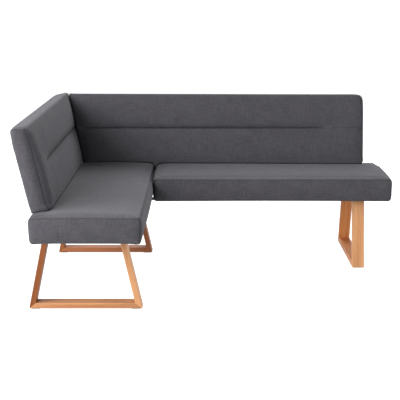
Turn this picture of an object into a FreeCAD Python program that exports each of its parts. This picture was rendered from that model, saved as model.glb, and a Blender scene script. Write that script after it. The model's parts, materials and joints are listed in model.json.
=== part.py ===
import FreeCAD, Part
import math
import os
import re

import Sketcher
from FreeCAD import Placement, Rotation, Vector

# Corner bench: two padded seats on three oak trapezoid frames, with two padded backs that lean
# outwards. Millimetres, +Z up, origin on the floor at the middle of the whole bench.
#
# Each wing has the same local frame: x runs across the seat, from its outer or rear edge to the
# edge where people sit down, y runs along the wing, z runs up from the floor. The left wing's
# frame is the bench's own. The right wing's frame is turned a quarter turn about z.

SIZES = (
    # Seats
    ("seat_depth", 495, "across a seat, outer edge to front edge"),
    ("seat_underside", 365, "floor to the underside of the seats"),
    ("seat_thickness", 120, "underside to the top edge of a seat"),
    ("seat_crown", 8, "rise of the seat's middle over its top edges"),
    ("seat_end_crown", 4, "rise of the seat's top beside its ends"),
    ("seat_top_round", 26, "rounding of the top edges"),
    ("seat_bottom_round", 13, "rounding of the bottom edges"),
    ("seat_end_round", 26, "length over which a seat's end rounds off"),
    ("seat_settle", 10, "length past the rounding that keeps the full section"),
    ("seat_corner_round", 20, "how far the end's side corners draw in"),
    ("seat_side_draw", 3, "how far a long side draws in at its middle"),
    ("left_seat_length", 1300, "front end to the corner end"),
    ("right_seat_length", 1238, "from beside the left seat to the free end"),
    ("seat_gap", 6, "between the two seats"),
    ("cover_thickness", 2, "woven fabric with its lining"),
    ("soft_gap", 0.3, "between soft pieces"),
    ("cover_flange", 22, "fabric turned in under the seat base"),
    ("dust_cloth", 1, "thin cloth that closes the underside"),
    # Seat base and springs
    ("side_wadding", 12, "padding between base and cover"),
    ("rail_thickness", 25, "timber of the seat base"),
    ("rail_height", 60, "timber of the seat base"),
    ("cross_rail_width", 84, "rail that a leg frame bolts to"),
    ("cross_rail_height", 40, "rail that a leg frame bolts to"),
    ("spring_pitch", 180, "from one sinuous spring to the next"),
    ("spring_wire", 3.8, "wire diameter"),
    ("spring_width", 44, "across the bends of one spring"),
    ("clip_sheet", 1.2, "sheet of a spring clip"),
    ("clip_length", 16, "length of a clip along the wire"),
    ("clip_foot", 6, "clip behind and before the wire"),
    ("clip_play", 0.2, "wire in its clip"),
    ("foam_rim", 3, "strip of rail top that the foam rests on"),
    # Oak frames
    ("frame_width", 522, "length of the floor rail"),
    ("frame_depth", 62, "width of the oak boards"),
    ("member", 26, "thickness of the oak boards"),
    ("leg_lean", 12.4, "degrees that the legs lean inwards"),
    ("arris_round", 2, "rounding of the long edges"),
    ("foot_inset", 17, "floor rail behind the seat's front edge"),
    ("front_frame_inset", 197, "free end of the left seat to its frame"),
    ("corner_frame_inset", 134, "corner end of the left seat to its frame"),
    ("end_frame_inset", 128, "free end of the right seat to its frame"),
    ("spline_length", 18, "loose spline, across the mitre"),
    ("spline_thickness", 5, "loose spline, along the mitre"),
    ("spline_depth", 42, "loose spline, through the board's width"),
    ("glide_thickness", 4, "glide under a floor rail"),
    ("glide_width", 50, "glide across the board"),
    ("glide_length", 40, "glide along the floor rail"),
    ("glide_inset", 9, "rail's end to its glide"),
    ("glide_bevel", 1.5, "bevel under a glide"),
    # Frame bolts
    ("bolt_diameter", 8, "bolts of frames and back brackets"),
    ("bolt_head", 17, "diameter of a bolt's head"),
    ("bolt_head_height", 5, "height of a bolt's head"),
    ("bolt_reach", 110, "bolts from the frame's middle, along the top rail"),
    ("bolt_spread", 28, "between the two bolts of a pair"),
    ("bolt_bite", 28, "bolt in its cross rail"),
    ("hole_play", 0.4, "hole wider than what it takes"),
    # Backs
    ("back_lean", 12.4, "degrees that the backs lean outwards"),
    ("back_thickness", 87, "through a back, square to its face"),
    ("back_height", 396, "along the lean, from the seat edge's level"),
    ("left_back_inset", 90, "free end of the left seat to the end of its back"),
    ("long_back_inset", 84, "free end of the right seat to the end of its back"),
    ("back_setback", 5, "left back's corner end inside the long back's rear face"),
    ("back_sink", 12, "back below the seat edge's level, before the seat's crown shapes it"),
    ("back_top_round", 34, "rounding of the top edge on the padded face"),
    ("back_rear_round", 16, "rounding of the top edge on the rear face"),
    ("back_bottom_round", 6, "rounding of the bottom edges"),
    ("back_top_crown", 2, "rise of the top's middle"),
    ("back_end_round", 24, "length over which a back's end rounds off"),
    ("back_end_drop", 18, "how far the top draws down at the end"),
    ("back_face_draw", 20, "how far the padded face draws in at the end"),
    ("back_rear_draw", 10, "how far the rear face draws in at the end"),
    ("panel_crown", 4, "swell of the padded face above and below the channel"),
    ("channel_height", 202, "sewn channel, along the lean"),
    ("channel_depth", 9, "depth of the sewn channel"),
    ("channel_width", 15, "mouth of the sewn channel"),
    ("channel_fade", 70, "length over which the channel comes in"),
    ("channel_free_margin", 190, "free end to the channel"),
    ("channel_corner_margin", 40, "corner end to the channel"),
    ("channel_trace", 0.5, "depth that is left of the channel at the ends"),
    ("rear_wadding", 12, "padding behind the panel"),
    ("panel_thickness", 15, "plywood panel in a back"),
    ("panel_margin", 26, "panel's edge inside the back's outline"),
    ("panel_foot", 20, "panel's lower edge above the seat edge's level"),
    # Brackets and their fixings
    ("bracket_width", 40, "flat steel bar"),
    ("bracket_thickness", 6, "flat steel bar"),
    ("bracket_height", 210, "bar up the panel, along the lean"),
    ("bracket_drop", 8, "bar's lower end above the rail's underside"),
    ("bracket_play", 1, "slot wider than the bar"),
    ("rail_bolt_low", 18, "lower bolt above the rail's underside"),
    ("rail_bolt_rise", 24, "between the two bolts"),
    ("rail_bolt_bite", 18, "bolt in the rail"),
    ("screw_diameter", 5, "screws of panels and link plates"),
    ("screw_head", 10, "diameter of a screw's head"),
    ("screw_head_height", 3, "height of a screw's head"),
    ("panel_screw_low", 60, "lower panel screw, along the lean"),
    ("panel_screw_rise", 110, "between the two panel screws"),
    ("panel_screw_bite", 11, "screw in the panel"),
    # Link plates under the seam between the seats
    ("link_thickness", 4, "flat steel plate"),
    ("link_width", 50, "flat steel plate"),
    ("link_inset", 78, "seat's edge to the middle of a plate"),
    ("link_screw_spread", 26, "between the two screws in one rail"),
    ("link_screw_bite", 26, "screw in the rail"),
)

QUARTER_TURN = 90
LEFT_SPRINGS = 7
RIGHT_SPRINGS = 6
SPRING_BENDS = 24

# The outer brackets stand between two springs, this many spring pitches from the wing's middle
LEFT_BRACKET_PITCHES = 1.5
RIGHT_BRACKET_PITCHES = 2

doc = FreeCAD.newDocument("CornerBench")
sheet = doc.addObject("Spreadsheet::Sheet", "Sizes")
for row, (alias, number, note) in enumerate(SIZES, start=1):
    sheet.set("A%d" % row, note)
    sheet.set("B%d" % row, str(number))
    sheet.setAlias("B%d" % row, alias)
doc.recompute()

ALIASES = re.compile(r"\b(" + "|".join(alias for alias, number, note in SIZES) + r")\b")
parts = []


def cells(text):
    """The expression with its size names pointing at the sheet."""
    return ALIASES.sub(r"Sizes.\1", text)


def size(text):
    """The value of a size, or of a sum of sizes, as it stands in the sheet."""
    return float(sheet.evalExpression(text))


def joined(*terms):
    return "(" + " + ".join(terms) + ")"


# Levels and edges that several pieces share

seat_top = "(seat_underside + seat_thickness)"
base_edge = "(cover_thickness + side_wadding)"
base_bottom = "(seat_underside + cover_thickness)"
base_top = joined(base_bottom, "rail_height")
rail_inner = joined(base_edge, "rail_thickness")
base_across = "(seat_depth - 2 * " + base_edge + ")"
frame_top = "(seat_underside + cover_thickness - dust_cloth)"
frame_middle = "(seat_depth - foot_inset - frame_width / 2)"
window_edge = joined(base_edge, "cover_flange")

# The back's inner face at the seat edge's level, where its outer face is flush with the seat
back_face = "(back_thickness / cos(back_lean))"
panel_front = "(back_thickness - cover_thickness - rear_wadding - panel_thickness)"
bracket_front = "(" + panel_front + " - bracket_thickness)"

# Outermost line of a leaning back: the widest point of its rounded top edge
outermost = ("(" + back_face + " - (back_height - back_rear_round) * sin(back_lean)"
             " - (back_thickness - back_rear_round) * cos(back_lean) - back_rear_round)")
middle_x = "((" + outermost + " + seat_depth + seat_gap + right_seat_length) / 2)"
middle_y = "((left_seat_length - " + outermost + ") / 2)"

frames = {
    "front": ("left", "(front_frame_inset + frame_depth / 2)"),
    "corner": ("left", "(left_seat_length - corner_frame_inset - frame_depth / 2)"),
    "end": ("right", "(right_seat_length - end_frame_inset - frame_depth / 2)"),
}
lengths = {"left": "left_seat_length", "right": "right_seat_length"}
springs = {"left": LEFT_SPRINGS, "right": RIGHT_SPRINGS}

# Brackets of the backs, as places along the wing. The one nearest the corner stands on the left
# seat's corner end, the others between two springs.
left_brackets = (
    "(left_seat_length / 2 - %s * spring_pitch)" % LEFT_BRACKET_PITCHES,
    "(left_seat_length / 2 + %s * spring_pitch)" % LEFT_BRACKET_PITCHES,
)
right_brackets = (
    "(right_seat_length / 2 - %s * spring_pitch)" % RIGHT_BRACKET_PITCHES,
    "(right_seat_length / 2 + %s * spring_pitch)" % RIGHT_BRACKET_PITCHES,
)
corner_bracket = "(-seat_gap - seat_depth / 2)"


def wing_placement(wing):
    """Where the wing's local frame lies in the bench."""
    middle = Vector(size(middle_x), size(middle_y), 0)
    if wing == "left":
        return Placement(-middle, Rotation())
    corner = Vector(size("seat_depth + seat_gap"), size("left_seat_length"), 0)
    return Placement(corner - middle, Rotation(Vector(0, 0, 1), -QUARTER_TURN))


def between_wings(source, target):
    """Moves what is placed in one wing's frame into the other wing's frame."""
    return wing_placement(target).inverse().multiply(wing_placement(source))


def back_placement():
    """The back's frame in its wing: x along the wing, y up the lean, z towards the sitter."""
    lean = math.radians(size("back_lean"))
    along = Vector(0, 1, 0)
    up = Vector(-math.sin(lean), 0, math.cos(lean))
    return Placement(Vector(size(back_face), 0, size(seat_top)), Rotation(along, up, along.cross(up)))


def place(thing, wing, across, along, up):
    """Bind the thing's place in the bench to its place in the wing."""
    if wing == "left":
        east = across
        north = along
    else:
        east = joined("seat_depth", "seat_gap", along)
        north = "(left_seat_length - " + across + ")"
        thing.Placement.Rotation = Rotation(Vector(0, 0, 1), -QUARTER_TURN)
    thing.setExpression("Placement.Base.x", cells(east + " - " + middle_x))
    thing.setExpression("Placement.Base.y", cells(north + " - " + middle_y))
    thing.setExpression("Placement.Base.z", cells(up))


# Helpers for pieces cut from boards and bars


def new_body(label):
    body = doc.addObject("PartDesign::Body", label)
    body.Label = label
    parts.append(body)
    return body


def new_sketch(body, name, role):
    sketch = body.newObject("Sketcher::SketchObject", name)
    plane = [item for item in body.Origin.OriginFeatures if item.Role == role][0]
    sketch.AttachmentSupport = [(plane, "")]
    sketch.MapMode = "FlatFace"
    return sketch


def pin_point(sketch, geometry, corner, point):
    """Hold one point of the sketch at a place written in sizes."""
    for kind, text in zip(("DistanceX", "DistanceY"), point):
        number = sketch.addConstraint(Sketcher.Constraint(kind, -1, 1, geometry, corner, size(text)))
        sketch.setExpression("Constraints[%d]" % number, cells(text))


def draw_outline(sketch, points):
    first = sketch.GeometryCount
    count = len(points)
    places = [Vector(size(x), size(y), 0) for x, y in points]
    for index in range(count):
        sketch.addGeometry(Part.LineSegment(places[index], places[(index + 1) % count]), False)
    for index in range(count):
        following = first + (index + 1) % count
        sketch.addConstraint(Sketcher.Constraint("Coincident", first + index, 2, following, 1))
    for index in range(count):
        pin_point(sketch, first + index, 1, points[index])


def draw_holes(sketch, centres, diameter):
    for centre in centres:
        middle = Vector(size(centre[0]), size(centre[1]), 0)
        radius = size(diameter) / 2
        number = sketch.addGeometry(Part.Circle(middle, Vector(0, 0, 1), radius), False)
        pin_point(sketch, number, 3, centre)
        bound = sketch.addConstraint(Sketcher.Constraint("Diameter", number, 2 * radius))
        sketch.setExpression("Constraints[%d]" % bound, cells(diameter))


def add_pad(body, sketch, length, symmetric=False):
    pad = body.newObject("PartDesign::Pad", body.Label + "_pad")
    pad.Profile = sketch
    pad.setExpression("Length", cells(length))
    if symmetric:
        pad.SideType = "Symmetric"
    sketch.Visibility = False
    return pad


def add_pocket(body, sketch, length, symmetric=False, forwards=False):
    """A cut into the body, against the sketch's direction unless it is both ways or forwards."""
    pocket = body.newObject("PartDesign::Pocket", sketch.Label + "_cut")
    pocket.Profile = sketch
    pocket.setExpression("Length", cells(length))
    if symmetric:
        pocket.SideType = "Symmetric"
    pocket.Reversed = forwards
    sketch.Visibility = False
    return pocket


def add_board(label, wing, sides, low, upright_holes=(), hole="", depth="", level_holes=()):
    """A square board: its sides across, along and up, from its low corner in the wing.

    upright_holes are drilled up from the underside and are given from the board's corner.
    level_holes go right through it, across the wing, for the bolts of a bracket.
    """
    across, along, up = sides
    body = new_body(label)
    outline = new_sketch(body, label + "_outline", "XY_Plane")
    draw_outline(outline, [("0", "0"), (across, "0"), (across, along), ("0", along)])
    add_pad(body, outline, up)
    if upright_holes:
        drilled = new_sketch(body, label + "_holes", "XY_Plane")
        draw_holes(drilled, upright_holes, hole)
        add_pocket(body, drilled, depth, forwards=True)
    if level_holes:
        bored = new_sketch(body, label + "_bolt_holes", "YZ_Plane")
        draw_holes(bored, level_holes, joined("bolt_diameter", "hole_play"))
        add_pocket(body, bored, across, forwards=True)
    place(body, wing, *low)


# Oak frames


def frame_corners():
    """The trapezoid's corners by side and level, from the middle of the floor rail's underside."""
    outer_low = "(frame_width / 2)"
    rise = "(" + frame_top + " - glide_thickness)"
    outer_high = "(frame_width / 2 - " + rise + " * tan(leg_lean))"
    slant = "(member / cos(leg_lean))"
    inner_low = "(frame_width / 2 - member * tan(leg_lean) - " + slant + ")"
    inner_high = "(" + outer_high + " + member * tan(leg_lean) - " + slant + ")"
    return {
        "outer_low": (outer_low, "0"),
        "inner_low": (inner_low, "member"),
        "inner_high": (inner_high, rise + " - member"),
        "outer_high": (outer_high, rise),
    }


def mirrored(point):
    return ("-" + point[0], point[1])


def spline_outline(level, side):
    """The loose spline's outline across one mitre, on the right (1) or left (-1) of the frame."""
    corners = frame_corners()
    outer = corners["outer_" + level]
    inner = corners["inner_" + level]
    middle_across = "(" + outer[0] + " + " + inner[0] + ") / 2"
    middle_up = "(" + outer[1] + " + " + inner[1] + ") / 2"
    # Direction of the mitre, from the frame's outer corner inwards
    tilt = "((90 - leg_lean) / 2)" if level == "low" else "((90 + leg_lean) / 2)"
    along = ("-cos" + tilt, "sin" + tilt) if level == "low" else ("-cos" + tilt, "-sin" + tilt)
    square = ("-(" + along[1] + ")", along[0])
    points = []
    for thick, long in ((1, 1), (-1, 1), (-1, -1), (1, -1)):
        points.append(tuple(
            middle + " + %d * spline_thickness / 2 * (%s) + %d * spline_length / 2 * (%s)"
            % (thick, along[axis], long, square[axis])
            for axis, middle in ((0, middle_across), (1, middle_up))
        ))
    if side < 0:
        points = [("-(" + x + ")", y) for x, y in points]
    return points


def long_edges(shape, outline_edges):
    """The edges of the board that run along it, on both of its wide faces."""
    near = size("arris_round")
    names = []
    for number, edge in enumerate(shape.Edges, start=1):
        ends = [vertex.Point for vertex in edge.Vertexes]
        for start, stop in outline_edges:
            flat = [Vector(point.x, 0, point.z) for point in ends]
            distance = min(
                (flat[0] - start).Length + (flat[1] - stop).Length,
                (flat[1] - start).Length + (flat[0] - stop).Length,
            )
            if distance < near:
                names.append("Edge%d" % number)
    return names


def add_member(frame, name, outline, rounded, mitres):
    """One board of a trapezoid frame, with mitred ends, rounded long edges and spline slots."""
    wing, along = frames[frame]
    label = frame + "_frame_" + name
    body = new_body(label)
    sketch = new_sketch(body, label + "_outline", "XZ_Plane")
    draw_outline(sketch, outline)
    pad = add_pad(body, sketch, "frame_depth", symmetric=True)
    doc.recompute()
    places = [Vector(size(x), 0, size(z)) for x, z in outline]
    rounding = body.newObject("PartDesign::Fillet", label + "_arris")
    rounding.Base = (pad, long_edges(pad.Shape, [(places[a], places[b]) for a, b in rounded]))
    rounding.setExpression("Radius", cells("arris_round"))
    for number, (level, side) in enumerate(mitres, start=1):
        slot = new_sketch(body, "%s_slot_%d" % (label, number), "XZ_Plane")
        draw_outline(slot, spline_outline(level, side))
        add_pocket(body, slot, "spline_depth", symmetric=True)
    place(body, wing, frame_middle, along, "glide_thickness")
    return body


def bolt_places():
    """The four bolts of a frame, from the middle of its top rail: across, along."""
    for side in ("-", ""):
        for half in ("-", ""):
            yield side + "bolt_reach", half + "bolt_spread / 2"


def add_frame(frame):
    corners = frame_corners()
    low_outer = corners["outer_low"]
    low_inner = corners["inner_low"]
    high_inner = corners["inner_high"]
    high_outer = corners["outer_high"]
    floor_outline = [mirrored(low_outer), low_outer, low_inner, mirrored(low_inner)]
    add_member(frame, "floor_rail", floor_outline, ((0, 1), (2, 3)), (("low", 1), ("low", -1)))
    top_outline = [mirrored(high_outer), high_outer, high_inner, mirrored(high_inner)]
    top_rail = add_member(frame, "top_rail", top_outline, ((2, 3),), (("high", 1), ("high", -1)))
    drilled = new_sketch(top_rail, frame + "_frame_bolt_holes", "XY_Plane")
    draw_holes(drilled, list(bolt_places()), joined("bolt_diameter", "hole_play"))
    add_pocket(top_rail, drilled, "(" + frame_top + " - glide_thickness)", forwards=True)
    leg = [low_outer, high_outer, high_inner, low_inner]
    for name, side in (("inner_leg", 1), ("outer_leg", -1)):
        outline = leg if side > 0 else [mirrored(point) for point in leg]
        add_member(frame, name, outline, ((0, 1), (2, 3)), (("low", side), ("high", side)))


# Seat bases


def bracket_bolts(along):
    """The two bolt holes of a bracket in its rail, for a rail that starts at the given place."""
    low = "(rail_bolt_low)"
    return [(along, low), (along, joined(low, "rail_bolt_rise"))]


def link_places():
    """The two link plates, across the right wing."""
    return ("link_inset", "(seat_depth - link_inset)")


def add_seat_base(wing, frame_names, outer_brackets):
    length = lengths[wing]
    base_along = "(" + length + " - 2 * " + base_edge + ")"
    hole = joined("screw_diameter", "hole_play")
    inner_low = "(seat_depth - " + rail_inner + ")"
    board = ("rail_thickness", base_along, "rail_height")
    outer_holes = []
    for along in outer_brackets:
        outer_holes += bracket_bolts("(" + along + " - " + base_edge + ")")
    outer_name, inner_name = ("outer", "inner") if wing == "left" else ("rear", "front")
    add_board(wing + "_seat_" + outer_name + "_rail", wing, board,
              (base_edge, base_edge, base_bottom), level_holes=outer_holes)
    # The left seat's inner rail takes the link plates' screws
    link_holes = []
    if wing == "left":
        for across in link_places():
            along = "(left_seat_length - " + across + " - " + base_edge + ")"
            for half in ("-", "+"):
                link_holes.append(("rail_thickness / 2",
                                   "(" + along + " " + half + " link_screw_spread / 2)"))
    add_board(wing + "_seat_" + inner_name + "_rail", wing, board,
              (inner_low, base_edge, base_bottom), link_holes, hole, "link_screw_bite")
    between = "(" + base_across + " - 2 * rail_thickness)"
    for frame in frame_names:
        along = frames[frame][1]
        holes = []
        for across, offset in bolt_places():
            holes.append(("(" + frame_middle + " - " + rail_inner + " + " + across + ")",
                          "(cross_rail_width / 2 + " + offset + ")"))
        add_board(wing + "_seat_" + frame + "_cross_rail", wing,
                  (between, "cross_rail_width", "cross_rail_height"),
                  (rail_inner, "(" + along + " - cross_rail_width / 2)", base_bottom),
                  holes, joined("bolt_diameter", "hole_play"), joined("bolt_bite", "hole_play"))


def add_end_rails():
    between = "(" + base_across + " - 2 * rail_thickness)"
    # Front end of the left seat
    add_board("left_seat_front_end_rail", "left", (between, "rail_thickness", "rail_height"),
              (rail_inner, base_edge, base_bottom))
    # Corner end of the left seat, seen from the right wing because a bracket bolts to it
    start = "(-seat_gap - seat_depth + " + rail_inner + ")"
    add_board("left_seat_corner_end_rail", "right", ("rail_thickness", between, "rail_height"),
              (base_edge, start, base_bottom),
              level_holes=bracket_bolts("(" + corner_bracket + " - " + start + ")"))
    # Hung end of the right seat, with the link plates' screws, and its free end
    hole = joined("screw_diameter", "hole_play")
    screws = []
    for across in link_places():
        for half in ("-", "+"):
            screws.append(("(" + across + " - " + rail_inner + " " + half + " link_screw_spread / 2)",
                           "rail_thickness / 2"))
    add_board("right_seat_hung_end_rail", "right", (between, "rail_thickness", "rail_height"),
              (rail_inner, base_edge, base_bottom), screws, hole, "link_screw_bite")
    add_board("right_seat_free_end_rail", "right", (between, "rail_thickness", "rail_height"),
              (rail_inner, "(right_seat_length - " + rail_inner + ")", base_bottom))
    add_board("right_seat_middle_cross_rail", "right",
              (between, "cross_rail_width", "cross_rail_height"),
              (rail_inner, "(right_seat_length / 2 - cross_rail_width / 2)", base_bottom))


def add_dust_cloth(wing, frame_names):
    """The cloth that closes the underside, inside the cover's turned-in edge."""
    edge = joined(window_edge, "soft_gap")
    holes = []
    for frame in frame_names:
        for across, offset in bolt_places():
            holes.append(("(" + frame_middle + " - " + edge + " + " + across + ")",
                          "(" + frames[frame][1] + " - " + edge + " + " + offset + ")"))
    add_board(wing + "_seat_dust_cover", wing,
              ("(seat_depth - 2 * " + edge + ")", "(" + lengths[wing] + " - 2 * " + edge + ")",
               "dust_cloth"),
              (edge, edge, frame_top), holes, joined("bolt_diameter", "hole_play"), "dust_cloth")


# Pieces made as groups of equal solids, or as padded forms


def add_shape(label, shape, placement):
    feature = doc.addObject("Part::Feature", label)
    feature.Label = label
    feature.Shape = shape
    feature.Placement = placement
    parts.append(feature)


def headed_rod(start, direction, head, head_height, rod, length):
    """A bolt or screw: its head before the start, its rod from the start on."""
    whole = Part.makeCylinder(size(head) / 2, size(head_height), start - direction * size(head_height),
                              direction)
    return whole.fuse(Part.makeCylinder(size(rod) / 2, size(length), start, direction)).removeSplitter()


def add_frame_fixings(frame):
    wing, along = frames[frame]
    middle = Vector(size(frame_middle), size(along), size("glide_thickness"))
    bolts = []
    underside = size(frame_top + " - member")
    for across, offset in bolt_places():
        start = Vector(middle.x + size(across), middle.y + size(offset), underside)
        bolts.append(headed_rod(start, Vector(0, 0, 1), "bolt_head", "bolt_head_height",
                                "bolt_diameter", "member + dust_cloth + bolt_bite"))
    add_shape(frame + "_frame_bolts", Part.makeCompound(bolts), wing_placement(wing))
    splines = []
    for level in ("low", "high"):
        for side in (1, -1):
            depth = size("spline_depth")
            points = [Vector(size(x), -depth / 2, size(z)) for x, z in spline_outline(level, side)]
            face = Part.Face(Part.makePolygon(points + points[:1]))
            splines.append(face.extrude(Vector(0, depth, 0)).translated(middle))
    add_shape(frame + "_frame_splines", Part.makeCompound(splines), wing_placement(wing))


def add_glides():
    glides = []
    width = size("glide_width")
    length = size("glide_length")
    thickness = size("glide_thickness")
    bevel = size("glide_bevel")
    for wing, along in frames.values():
        for side in (1, -1):
            pad = Part.makeBox(length, width, thickness)
            rim = [edge for edge in pad.Edges if edge.BoundBox.ZMax < bevel]
            pad = pad.makeChamfer(bevel, rim)
            near = size("frame_width / 2 - glide_inset")
            start = near - length if side > 0 else -near
            pad.translate(Vector(size(frame_middle) + start, size(along) - width / 2, 0))
            pad.Placement = wing_placement(wing).multiply(pad.Placement)
            glides.append(pad)
    add_shape("floor_glides", Part.makeCompound(glides), Placement())


def spring_places(wing):
    count = springs[wing]
    middle = size(lengths[wing]) / 2
    pitch = size("spring_pitch")
    return [middle + (number - (count - 1) / 2) * pitch for number in range(count)]


def spring_span():
    """The two wire places over the middle of the long rails, across the wing."""
    near = size(base_edge + " + rail_thickness / 2")
    return near, size("seat_depth") - near


def sinuous_spring(along):
    """One spring: straight wires along the wing, joined by half turns, across the seat."""
    near, far = spring_span()
    turn = (far - near) / SPRING_BENDS / 2
    wire = size("spring_wire")
    half = (size("spring_width") - wire) / 2 - turn
    level = size(base_top + " + clip_sheet + (spring_wire + clip_play) / 2")
    edges = [Part.makeLine(Vector(near, along - half, level), Vector(near, along + half, level))]
    side = 1
    for bend in range(SPRING_BENDS):
        here = near + 2 * turn * bend
        end = along + side * half
        crest = Vector(here + turn, end + side * turn, level)
        after = Vector(here + 2 * turn, end, level)
        edges.append(Part.Arc(Vector(here, end, level), crest, after).toShape())
        edges.append(Part.makeLine(after, Vector(after.x, along - side * half, level)))
        side = -side
    path = Part.Wire(edges)
    ring = Part.Circle(Vector(near, along - half, level), Vector(0, 1, 0), wire / 2)
    return path.makePipeShell([Part.Wire([ring.toShape()])], True, False)


def spring_clip(across, along, side):
    """A folded clip round the end wire, screwed to the rail on its side away from the spring."""
    sheet_gauge = size("clip_sheet")
    length = size("clip_length")
    foot = size("clip_foot")
    play = size("spring_wire + clip_play")
    level = size(base_top)
    height = play + 2 * sheet_gauge
    start = across - play / 2 - sheet_gauge
    block = Part.makeBox(play + 2 * sheet_gauge, length, height,
                         Vector(start, along - length / 2, level))
    slot_start = across - play / 2
    reach = play + 2 * sheet_gauge
    if side < 0:
        slot_start = across + play / 2 - reach
    slot = Part.makeBox(reach, length, play, Vector(slot_start, along - length / 2, level + sheet_gauge))
    foot_start = start - foot if side > 0 else start + play + 2 * sheet_gauge
    plate = Part.makeBox(foot, length, sheet_gauge, Vector(foot_start, along - length / 2, level))
    return block.cut(slot).fuse(plate).removeSplitter()


def add_springs(wing):
    near, far = spring_span()
    wires = []
    clips = []
    for along in spring_places(wing):
        wires.append(sinuous_spring(along))
        clips.append(spring_clip(near, along, 1))
        clips.append(spring_clip(far, along, -1))
    add_shape(wing + "_seat_springs", Part.makeCompound(wires), wing_placement(wing))
    add_shape(wing + "_seat_spring_clips", Part.makeCompound(clips), wing_placement(wing))


# Padded seats

ROUNDING_ANGLES = (90, 62, 35, 0)
SEAT_SPAN_SHARES = (0.12, 0.3, 0.5, 0.7, 0.88)


def rounded_wire(corners, radii, swells, place_point):
    """A closed outline of swelling sides joined by rounded corners, each an arc or a line.

    corners are (x, y) in order, radii round them, and swells push the middle of the side that
    leaves each corner outwards. place_point puts an outline point into space.
    """
    count = len(corners)
    starts = []
    stops = []
    middles = []
    for index in range(count):
        here = Vector(*corners[index], 0)
        before = Vector(*corners[index - 1], 0) - here
        after = Vector(*corners[(index + 1) % count], 0) - here
        before.normalize()
        after.normalize()
        radius = radii[index]
        half = before.getAngle(after) / 2
        cut = radius / math.tan(half)
        starts.append(here + before * cut)
        stops.append(here + after * cut)
        inward = before + after
        inward.normalize()
        middles.append(here + inward * (radius / math.sin(half) - radius))
    edges = []
    for index in range(count):
        if radii[index] > 0:
            edges.append(Part.Arc(place_point(starts[index]), place_point(middles[index]),
                                  place_point(stops[index])).toShape())
        start = stops[index]
        stop = starts[(index + 1) % count]
        if swells[index]:
            side = stop - start
            outward = Vector(side.y, -side.x, 0)
            outward.normalize()
            crest = (start + stop) / 2 + outward * swells[index]
            edges.append(Part.Arc(place_point(start), place_point(crest), place_point(stop)).toShape())
        else:
            edges.append(Part.makeLine(place_point(start), place_point(stop)))
    return Part.Wire(edges)


def rounding_steps(rounding, offset):
    """Places from the end's face inwards, each with the share of the rounding that is left.

    A form inside the outer skin rounds off over a shorter way, which keeps the skin's thickness.
    """
    reach = rounding - offset
    steps = []
    for angle in ROUNDING_ANGLES:
        turn = math.radians(angle)
        steps.append((offset + reach * (1 - math.sin(turn)), (1 - math.cos(turn)) * reach / rounding))
    return steps


def seat_section(along, draw, ease, crown, offset):
    """The seat's outline at one place along it.

    draw pulls the sides in, ease is how far the end's rounding has gone, from 1 at the end's
    face to 0 on the full section, and offset is the distance inside the outer skin.
    """
    side = draw + ease * size("seat_corner_round") + offset
    low = size("seat_underside") + ease * size("seat_bottom_round") + offset
    high = size(seat_top) - ease * size("seat_top_round") - offset
    far = size("seat_depth") - side
    top_round = size("seat_top_round") - offset
    bottom_round = size("seat_bottom_round") - offset
    corners = ((side, low), (far, low), (far, high), (side, high))
    radii = (bottom_round, bottom_round, top_round, top_round)
    swells = (0, 0, crown, 0)
    return rounded_wire(corners, radii, swells, lambda point: Vector(point.x, along, point.y))


def seat_form(wing, offset):
    """The padded seat as a closed crowned form, at a distance inside its outer skin."""
    length = size(lengths[wing])
    steps = rounding_steps(size("seat_end_round"), offset)
    crown = size("seat_crown")
    end_crown = size("seat_end_crown")
    sections = []
    for along, ease in steps:
        sections.append(seat_section(along, 0, ease, end_crown, offset))
    settled = size("seat_end_round + seat_settle")
    sections.append(seat_section(settled, 0, 0, end_crown, offset))
    for share in SEAT_SPAN_SHARES:
        bow = math.sin(math.pi * share)
        draw = size("seat_side_draw") * bow
        sections.append(seat_section(length * share, draw, 0, end_crown + (crown - end_crown) * bow,
                                     offset))
    sections.append(seat_section(length - settled, 0, 0, end_crown, offset))
    for along, ease in reversed(steps):
        sections.append(seat_section(length - along, 0, ease, end_crown, offset))
    return Part.makeLoft(sections, True, False)


def bracket_profile(play):
    """The bent bar's outline across the wing, widened by a play on its two flat sides."""
    lean = math.radians(size("back_lean"))
    level = size(seat_top)
    face = size(back_face)
    rear = size(rail_inner) - play
    front = size(joined(rail_inner, "bracket_thickness")) + play
    depths = (size(panel_front) + play, size(bracket_front) - play)
    bends = [level + (face - depth / math.cos(lean) - across) / math.tan(lean)
             for depth, across in zip(depths, (rear, front))]
    up = Vector(-math.sin(lean), 0, math.cos(lean))
    back = Vector(-math.cos(lean), 0, -math.sin(lean))
    foot = Vector(face, 0, level)
    high = size("bracket_height") + play
    low = size(joined(base_bottom, "bracket_drop")) - play
    return [
        Vector(rear, 0, low),
        Vector(front, 0, low),
        Vector(front, 0, bends[1]),
        foot + up * high + back * depths[1],
        foot + up * high + back * depths[0],
        Vector(rear, 0, bends[0]),
    ]


def bracket_slot(along):
    """The room that a bracket takes in the padding and the covers, in its wing's frame."""
    play = size("bracket_play")
    width = size("bracket_width") + 2 * play
    points = bracket_profile(play)
    face = Part.Face(Part.makePolygon(points + points[:1]))
    return face.extrude(Vector(0, width, 0)).translated(Vector(0, size(along) - width / 2, 0))


def bracket_slots(wing):
    """Every bracket's room that can reach into this wing's seat, in the wing's own frame."""
    if wing == "right":
        return [bracket_slot(along) for along in right_brackets]
    corner = bracket_slot(corner_bracket)
    corner.Placement = between_wings("right", "left").multiply(corner.Placement)
    return [bracket_slot(along) for along in left_brackets] + [corner]


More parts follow.
